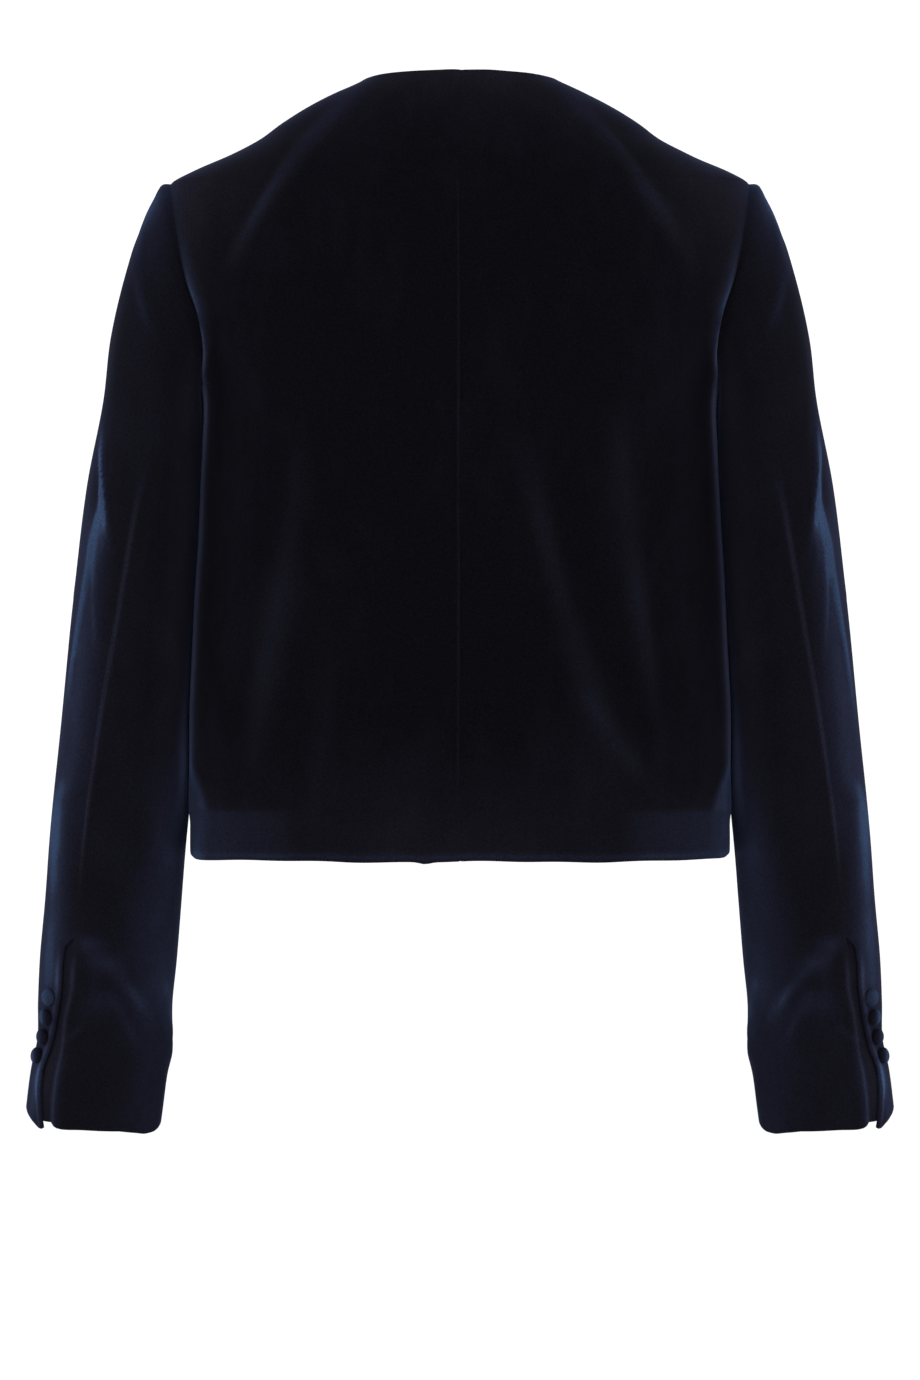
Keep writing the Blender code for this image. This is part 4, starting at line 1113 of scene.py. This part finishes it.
def lay_sleeve(part):
    """A sleeve piece's points by angle and distance along the arm, and how far each is from the seams."""
    low, high = HEAD_START, SLEEVE_LENGTH - CLOTH
    turning = -np.array(TURNING_STEPS)
    rows = np.concatenate([turning, low + (high - low) * stations(high - low)])
    shown = BACK_SEAM_SHOWS.at(rows) * (1 - BACK_SEAM_HIDES.at(rows))
    start, end = sleeve_edges(part, np.maximum(rows, 0), shown)
    angle = columns_between(start, end, SLEEVE_ACROSS[part])
    degrees = np.degrees(np.remainder(angle + math.pi / 2, math.tau)) - 90
    from_start = (angle - start[:, None]) * SLEEVE_RADIUS
    from_end = (end[:, None] - angle) * SLEEVE_RADIUS
    from_vent, from_front = (from_end, from_start) if part == "top" else (from_start, from_end)
    drop = from_rows(CUFF_HEM[part], degrees) - CUFF_CORNER[part].at(from_vent)
    along = rows[:, None] + CUFF_SHAPED.at(rows)[:, None] * drop
    in_vent = VENT_OPENS.at(along)
    on_seam = (1 - in_vent) * shown[:, None]
    return SleeveLay(part, angle, degrees, along, from_vent, from_front, in_vent, on_seam)


def sleeve_lift(lay, folds):
    """How far the cloth of a sleeve stands out from its unfolded form."""
    lift = folds * HEAD_EASE.at(lay.along) - HEAD_TUCK.at(lay.along) - FULL_TUCK.at(lay.from_front)
    lift -= BACK_SEAM_TUCK.at(lay.from_vent) * lay.on_seam
    lift += VENT_ROLL.at(lay.from_vent) * lay.in_vent
    lift -= CAP_DIP.at(lay.along) * np.clip(np.cos(lay.angle), 0, 1) ** CAP_DIP_POWER
    lift -= INNER_FLAT.at(lay.degrees) * INNER_FLAT_STARTS.at(lay.along) * INNER_FLAT_ENDS.at(lay.along)
    return lift + sum(swell.at(lay.degrees, lay.along) for swell in SLEEVE_SWELLS)


def elbow_wedge(degrees, along):
    """How far a point lies inside the painted highlight wedge at the elbow."""
    sides = ease((degrees - from_rows(ELBOW_WEDGE, along)) / WEDGE_EDGE)
    sides = sides * ease((from_rows(ELBOW_WEDGE, along, 2) - degrees) / WEDGE_EDGE)
    return sides * WEDGE_STARTS.at(along) * WEDGE_ENDS.at(along)


def sleeve_painted_sheen(lay):
    """Painted sheen of a sleeve, besides its folds."""
    degrees, along = lay.degrees, lay.along
    painted_sheen = SLEEVE_TONE + sum(patch.at(degrees, along) for patch in SLEEVE_PATCHES)
    inner_side = ease((degrees - from_rows(INNER_START, along)) / from_rows(INNER_FADE, along))
    painted_sheen += inner_side * INNER_ENDS.at(degrees) * (INNER_TONE.at(along) - INNER_DIMS.at(along))
    reach = from_rows(SLEEVE_STRIP, along, 2)
    strip = from_rows(SLEEVE_STRIP, along) * ease((reach - degrees) / (2 * STRIP_FADE) + 0.5)
    painted_sheen += strip * STRIP_FRONT.at(degrees) * (1 - STRIP_DIMS.at(degrees))
    painted_sheen += WEDGE_SHINE * elbow_wedge(degrees, along)
    painted_sheen += VENT_LINE.at(lay.from_vent) * VENT_LINE_STARTS.at(along)
    painted_sheen += BACK_SEAM_LINE.at(lay.from_vent) * lay.on_seam
    if lay.part == "top":
        return painted_sheen + FOREARM_TONE.at(along) * FOREARM_SIDE.at(degrees)
    return painted_sheen + VENT_FOOT.at(lay.from_vent) * VENT_FOOT_STARTS.at(along)


def sleeve_painted_light(lay):
    """Painted light of a sleeve: shade lifted on the inner side, and painted highlights."""
    degrees, along = lay.degrees, lay.along
    lifted = (INNER_PALE - INNER_PALE_DIMS.at(along)) * INNER_PALE_SIDE.at(degrees)
    lifted += ELBOW_PALE.at(along) * ELBOW_PALE_SIDE.at(degrees)
    lifted *= PALE_FRONT.at(degrees) * (1 - PALE_ENDS.at(along))
    lifted += WEDGE_PALE * elbow_wedge(degrees, along)
    lifted += VENT_PALE.at(lay.from_vent) * VENT_LINE_STARTS.at(along)
    seam_line = BACK_SEAM_PALE_STARTS.at(along) * (1 - BACK_SEAM_PALE_ENDS.at(along))
    return lifted + BACK_SEAM_PALE.at(lay.from_vent) * seam_line


def sleeve_panel(word, side, part):
    """A top or under sleeve, from the turning inside the armhole to the cuff's hem."""
    lay = lay_sleeve(part)
    folds, painted_sheen = sleeve_folds(lay.angle, lay.along, SLEEVE_SEEDS[part])
    lift = sleeve_lift(lay, folds)
    outer = sleeve_bare(lay.angle, lay.along) + sleeve_out(lay.angle, lay.along) * lift[..., None]
    inside = lay.along < 0
    outer[inside] = sleeve_turning(lay.angle[inside], -lay.along[inside])
    in_hem = 1 - CUFF_PLY.at(lay.along)
    thickness = CLOTH * (1 + np.maximum(in_hem, VENT_PLY.at(lay.from_vent) * lay.in_vent))
    painted_sheen = painted_sheen + sleeve_painted_sheen(lay)
    name = f"velvet_{part}_sleeve_{word}"
    panel = cloth_shell(name, outer, thickness, painted_sheen, sleeve_painted_light(lay), side)
    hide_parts(f"{part}_sleeve_{word}")
    return panel


for word, side in SIDES:
    sleeve_panel(word, side, "top")
    sleeve_panel(word, side, "under")


# Cuff underlaps: a strip of velvet behind each vent, carried on by the under sleeve's turning.
# It closes the vent behind the buttons, and stops just above the cuff's hem.

UNDERLAP_REACH = {"top": 12.0, "under": 8.0}
UNDERLAP_SINK = 0.0024
UNDERLAP_START = 0.0008
UNDERLAP_HEM = 0.0025
UNDERLAP_ACROSS = 0.026
UNDERLAP_ROW_PITCH = 0.0025
UNDERLAP_PITCH = 0.0020
# Painted sheen and painted light on the underlap, which lift its shade inside the vent
UNDERLAP_TONE = 0.25
UNDERLAP_PALE = 0.5


def underlap(word, side):
    """The strip behind one vent, sunk under both of its edges."""
    low, high = VENT_ALONG + UNDERLAP_START, SLEEVE_LENGTH - UNDERLAP_HEM
    rows = low + (high - low) * stations(high - low, UNDERLAP_ROW_PITCH)
    start = vent_turns(rows, "top") - math.radians(UNDERLAP_REACH["top"])
    end = vent_turns(rows, "under") + math.radians(UNDERLAP_REACH["under"])
    angle = columns_between(start, end, UNDERLAP_ACROSS, UNDERLAP_PITCH)
    along = np.broadcast_to(rows[:, None], angle.shape)
    lift, painted_sheen = sleeve_folds(angle, along, SLEEVE_SEEDS["top"])
    outer = sleeve_bare(angle, along) + sleeve_out(angle, along) * (lift - UNDERLAP_SINK)[..., None]
    painted_sheen = painted_sheen + UNDERLAP_TONE
    lifted = np.full(angle.shape, UNDERLAP_PALE)
    thickness = np.full(angle.shape, CLOTH)
    piece = cloth_shell(f"velvet_underlap_{word}", outer, thickness, painted_sheen, lifted, side)
    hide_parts(f"cuff_underlap_{word}")


for word, side in SIDES:
    underlap(word, side)


# Cuff buttons: four small domes covered with the same velvet, sewn close together along the vent's edge.
# The cloth is drawn over a shell and tucked in at the back, so it puckers a little round the rim.

BUTTON_COUNT = 4
BUTTON_FIRST = 0.5453
BUTTON_PITCH = 0.0135
BUTTON_INSET = 11.5
BUTTON_RADIUS = 0.0055
BUTTON_HEIGHT = 0.0048
BUTTON_SEAT = 0.0007
BUTTON_TURNS = 48
BUTTON_RINGS = 12
BUTTON_WRAP = 122.0
BUTTON_WIDEST = 0.30
BUTTON_PUCKERS = 14
PUCKER_DEPTH = 0.018
PUCKER_POWER = 3
# Painted sheen on each button: a base amount, and a painted crescent of highlight towards its outer side
BUTTON_SHINE = (0.86, 0.26, 0.26, 0.26)
BUTTON_CRESCENT = (0.10, 0.76, 0.60, 0.76)
CRESCENT_SIDE = Ramp(1.0, -0.15, 0.9)


def button_dome(number):
    """Points and faces of a button: a crown, puckered rings down to the tucked rim, and a flat back."""
    turns = np.arange(BUTTON_TURNS) * math.tau / BUTTON_TURNS
    points = [(0, 0, BUTTON_HEIGHT)]
    for ring in range(1, BUTTON_RINGS + 1):
        lean = math.radians(BUTTON_WRAP) * ring / BUTTON_RINGS
        height = BUTTON_HEIGHT * (BUTTON_WIDEST + (1 - BUTTON_WIDEST) * math.cos(lean))
        pucker = PUCKER_DEPTH * (ring / BUTTON_RINGS) ** PUCKER_POWER
        uneven = 1 + pucker * np.sin(BUTTON_PUCKERS * turns + number)
        wide = BUTTON_RADIUS * math.sin(lean) * uneven
        points += [(w * math.cos(a), w * math.sin(a), max(height, 0.0)) for w, a in zip(wide, turns)]
    points.append((0, 0, 0))
    faces = []
    for k in range(BUTTON_TURNS):
        after = (k + 1) % BUTTON_TURNS
        faces.append((0, 1 + k, 1 + after))
        for ring in range(BUTTON_RINGS - 1):
            first = 1 + ring * BUTTON_TURNS
            second = first + BUTTON_TURNS
            faces.append((first + k, second + k, second + after, first + after))
        last = 1 + (BUTTON_RINGS - 1) * BUTTON_TURNS
        faces.append((last + k, len(points) - 1, last + after))
    return points, faces


def cuff_button(word, side, number):
    """One covered button, seated on the folded cloth beside the vent's edge."""
    along = np.array(BUTTON_FIRST + (number - 1) * BUTTON_PITCH)
    angle = vent_turns(along, "top") - math.radians(BUTTON_INSET)
    mirror = np.array([side, 1, 1])
    out = Vector(sleeve_out(angle, along) * mirror)
    lift = float(sleeve_folds(angle, along, SLEEVE_SEEDS["top"])[0])
    seat = Vector(sleeve_bare(angle, along) * mirror) + out * (lift + BUTTON_SEAT)
    points, faces = button_dome(number)
    mesh = bpy.data.meshes.new(f"covered_button_{word}_{number}")
    mesh.from_pydata(points, [], faces)
    mesh.transform(Matrix.Translation(seat) @ out.to_track_quat("Z", "Y").to_matrix().to_4x4())
    mesh.materials.append(velvet_pile)
    outward = np.array([side * (vertex.co.x - seat.x) / BUTTON_RADIUS for vertex in mesh.vertices])
    # The painted highlight is brightest on the button's outer side and darker on its inner side
    painted_values = BUTTON_SHINE[number - 1] + BUTTON_CRESCENT[number - 1] * CRESCENT_SIDE.at(outward)
    painted_sheen = mesh.attributes.new("painted_sheen_tone", "FLOAT", "POINT")
    painted_sheen.data.foreach_set("value", painted_values.astype(np.float32))
    mesh.shade_smooth()
    button = bpy.data.objects.new(mesh.name, mesh)
    bpy.context.scene.collection.objects.link(button)
    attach(button, "root")
    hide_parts(f"cuff_button_{word}_{number}")
    return button


for word, side in SIDES:
    buttons = [cuff_button(word, side, number) for number in range(1, BUTTON_COUNT + 1)]


# Studio: a pale floor well below the jacket, white surroundings and two large soft lights at the sides.
# The camera stands level with the middle of the picture, square on to the back.

FLOOR_Z = -0.95
FLOOR_RADIUS = 9.0
FLOOR_SIDES = 96
FLOOR_LOOK = {"Base Color": (0.94, 0.94, 0.94, 1.0), "Roughness": 0.9}
SURROUNDINGS = {"Color": (1.0, 1.0, 1.0, 1.0), "Strength": 1.10}
LIGHT_AIM = Vector((0, 0, -0.25))
CAMERA_AWAY = 4.0
CAMERA_Z = -0.33462
VIEW_HEIGHT = 0.9108
SENSOR_HEIGHT = 36.0

floor_mesh = bpy.data.meshes.new("studio_floor")
floor_turns = np.arange(FLOOR_SIDES) * math.tau / FLOOR_SIDES
floor_points = [(FLOOR_RADIUS * math.cos(a), FLOOR_RADIUS * math.sin(a), FLOOR_Z) for a in floor_turns]
floor_mesh.from_pydata(floor_points, [], [tuple(range(FLOOR_SIDES))])
floor_finish = bpy.data.materials.new("pale_floor")
floor_finish.use_nodes = True
feed(floor_finish.node_tree.nodes["Principled BSDF"], FLOOR_LOOK)
floor_mesh.materials.append(floor_finish)
floor = bpy.data.objects.new("studio_floor", floor_mesh)
bpy.context.scene.collection.objects.link(floor)

world = bpy.data.worlds.new("white_studio")
world.use_nodes = True
feed(world.node_tree.nodes["Background"], SURROUNDINGS)
bpy.context.scene.world = world

Lamp = namedtuple("Lamp", "name x y z wide tall power")
LAMPS = (
    Lamp("side_light_right", 1.9, 0.05, -0.70, 1.0, 1.4, 14.0),
    Lamp("side_light_left", -1.9, 0.05, -0.70, 1.0, 1.4, 14.0),
)
for lamp in LAMPS:
    light = bpy.data.lights.new(lamp.name, "AREA")
    light.shape = "RECTANGLE"
    light.size = lamp.wide
    light.size_y = lamp.tall
    light.energy = lamp.power
    stand = bpy.data.objects.new(lamp.name, light)
    stand.location = (lamp.x, lamp.y, lamp.z)
    aim = LIGHT_AIM - stand.location
    stand.rotation_euler = aim.to_track_quat("-Z", "Y").to_euler()
    bpy.context.scene.collection.objects.link(stand)

camera = bpy.data.cameras.new("photo_camera")
camera.sensor_fit = "VERTICAL"
camera.sensor_height = SENSOR_HEIGHT
camera.lens = SENSOR_HEIGHT * CAMERA_AWAY / VIEW_HEIGHT
camera_stand = bpy.data.objects.new("photo_camera", camera)
camera_stand.location = (0, -CAMERA_AWAY, CAMERA_Z)
camera_stand.rotation_euler = (math.radians(90), 0, 0)
bpy.context.scene.collection.objects.link(camera_stand)
bpy.context.scene.camera = camera_stand
bpy.context.scene.view_settings.view_transform = "Standard"
bpy.context.scene.view_settings.look = "None"
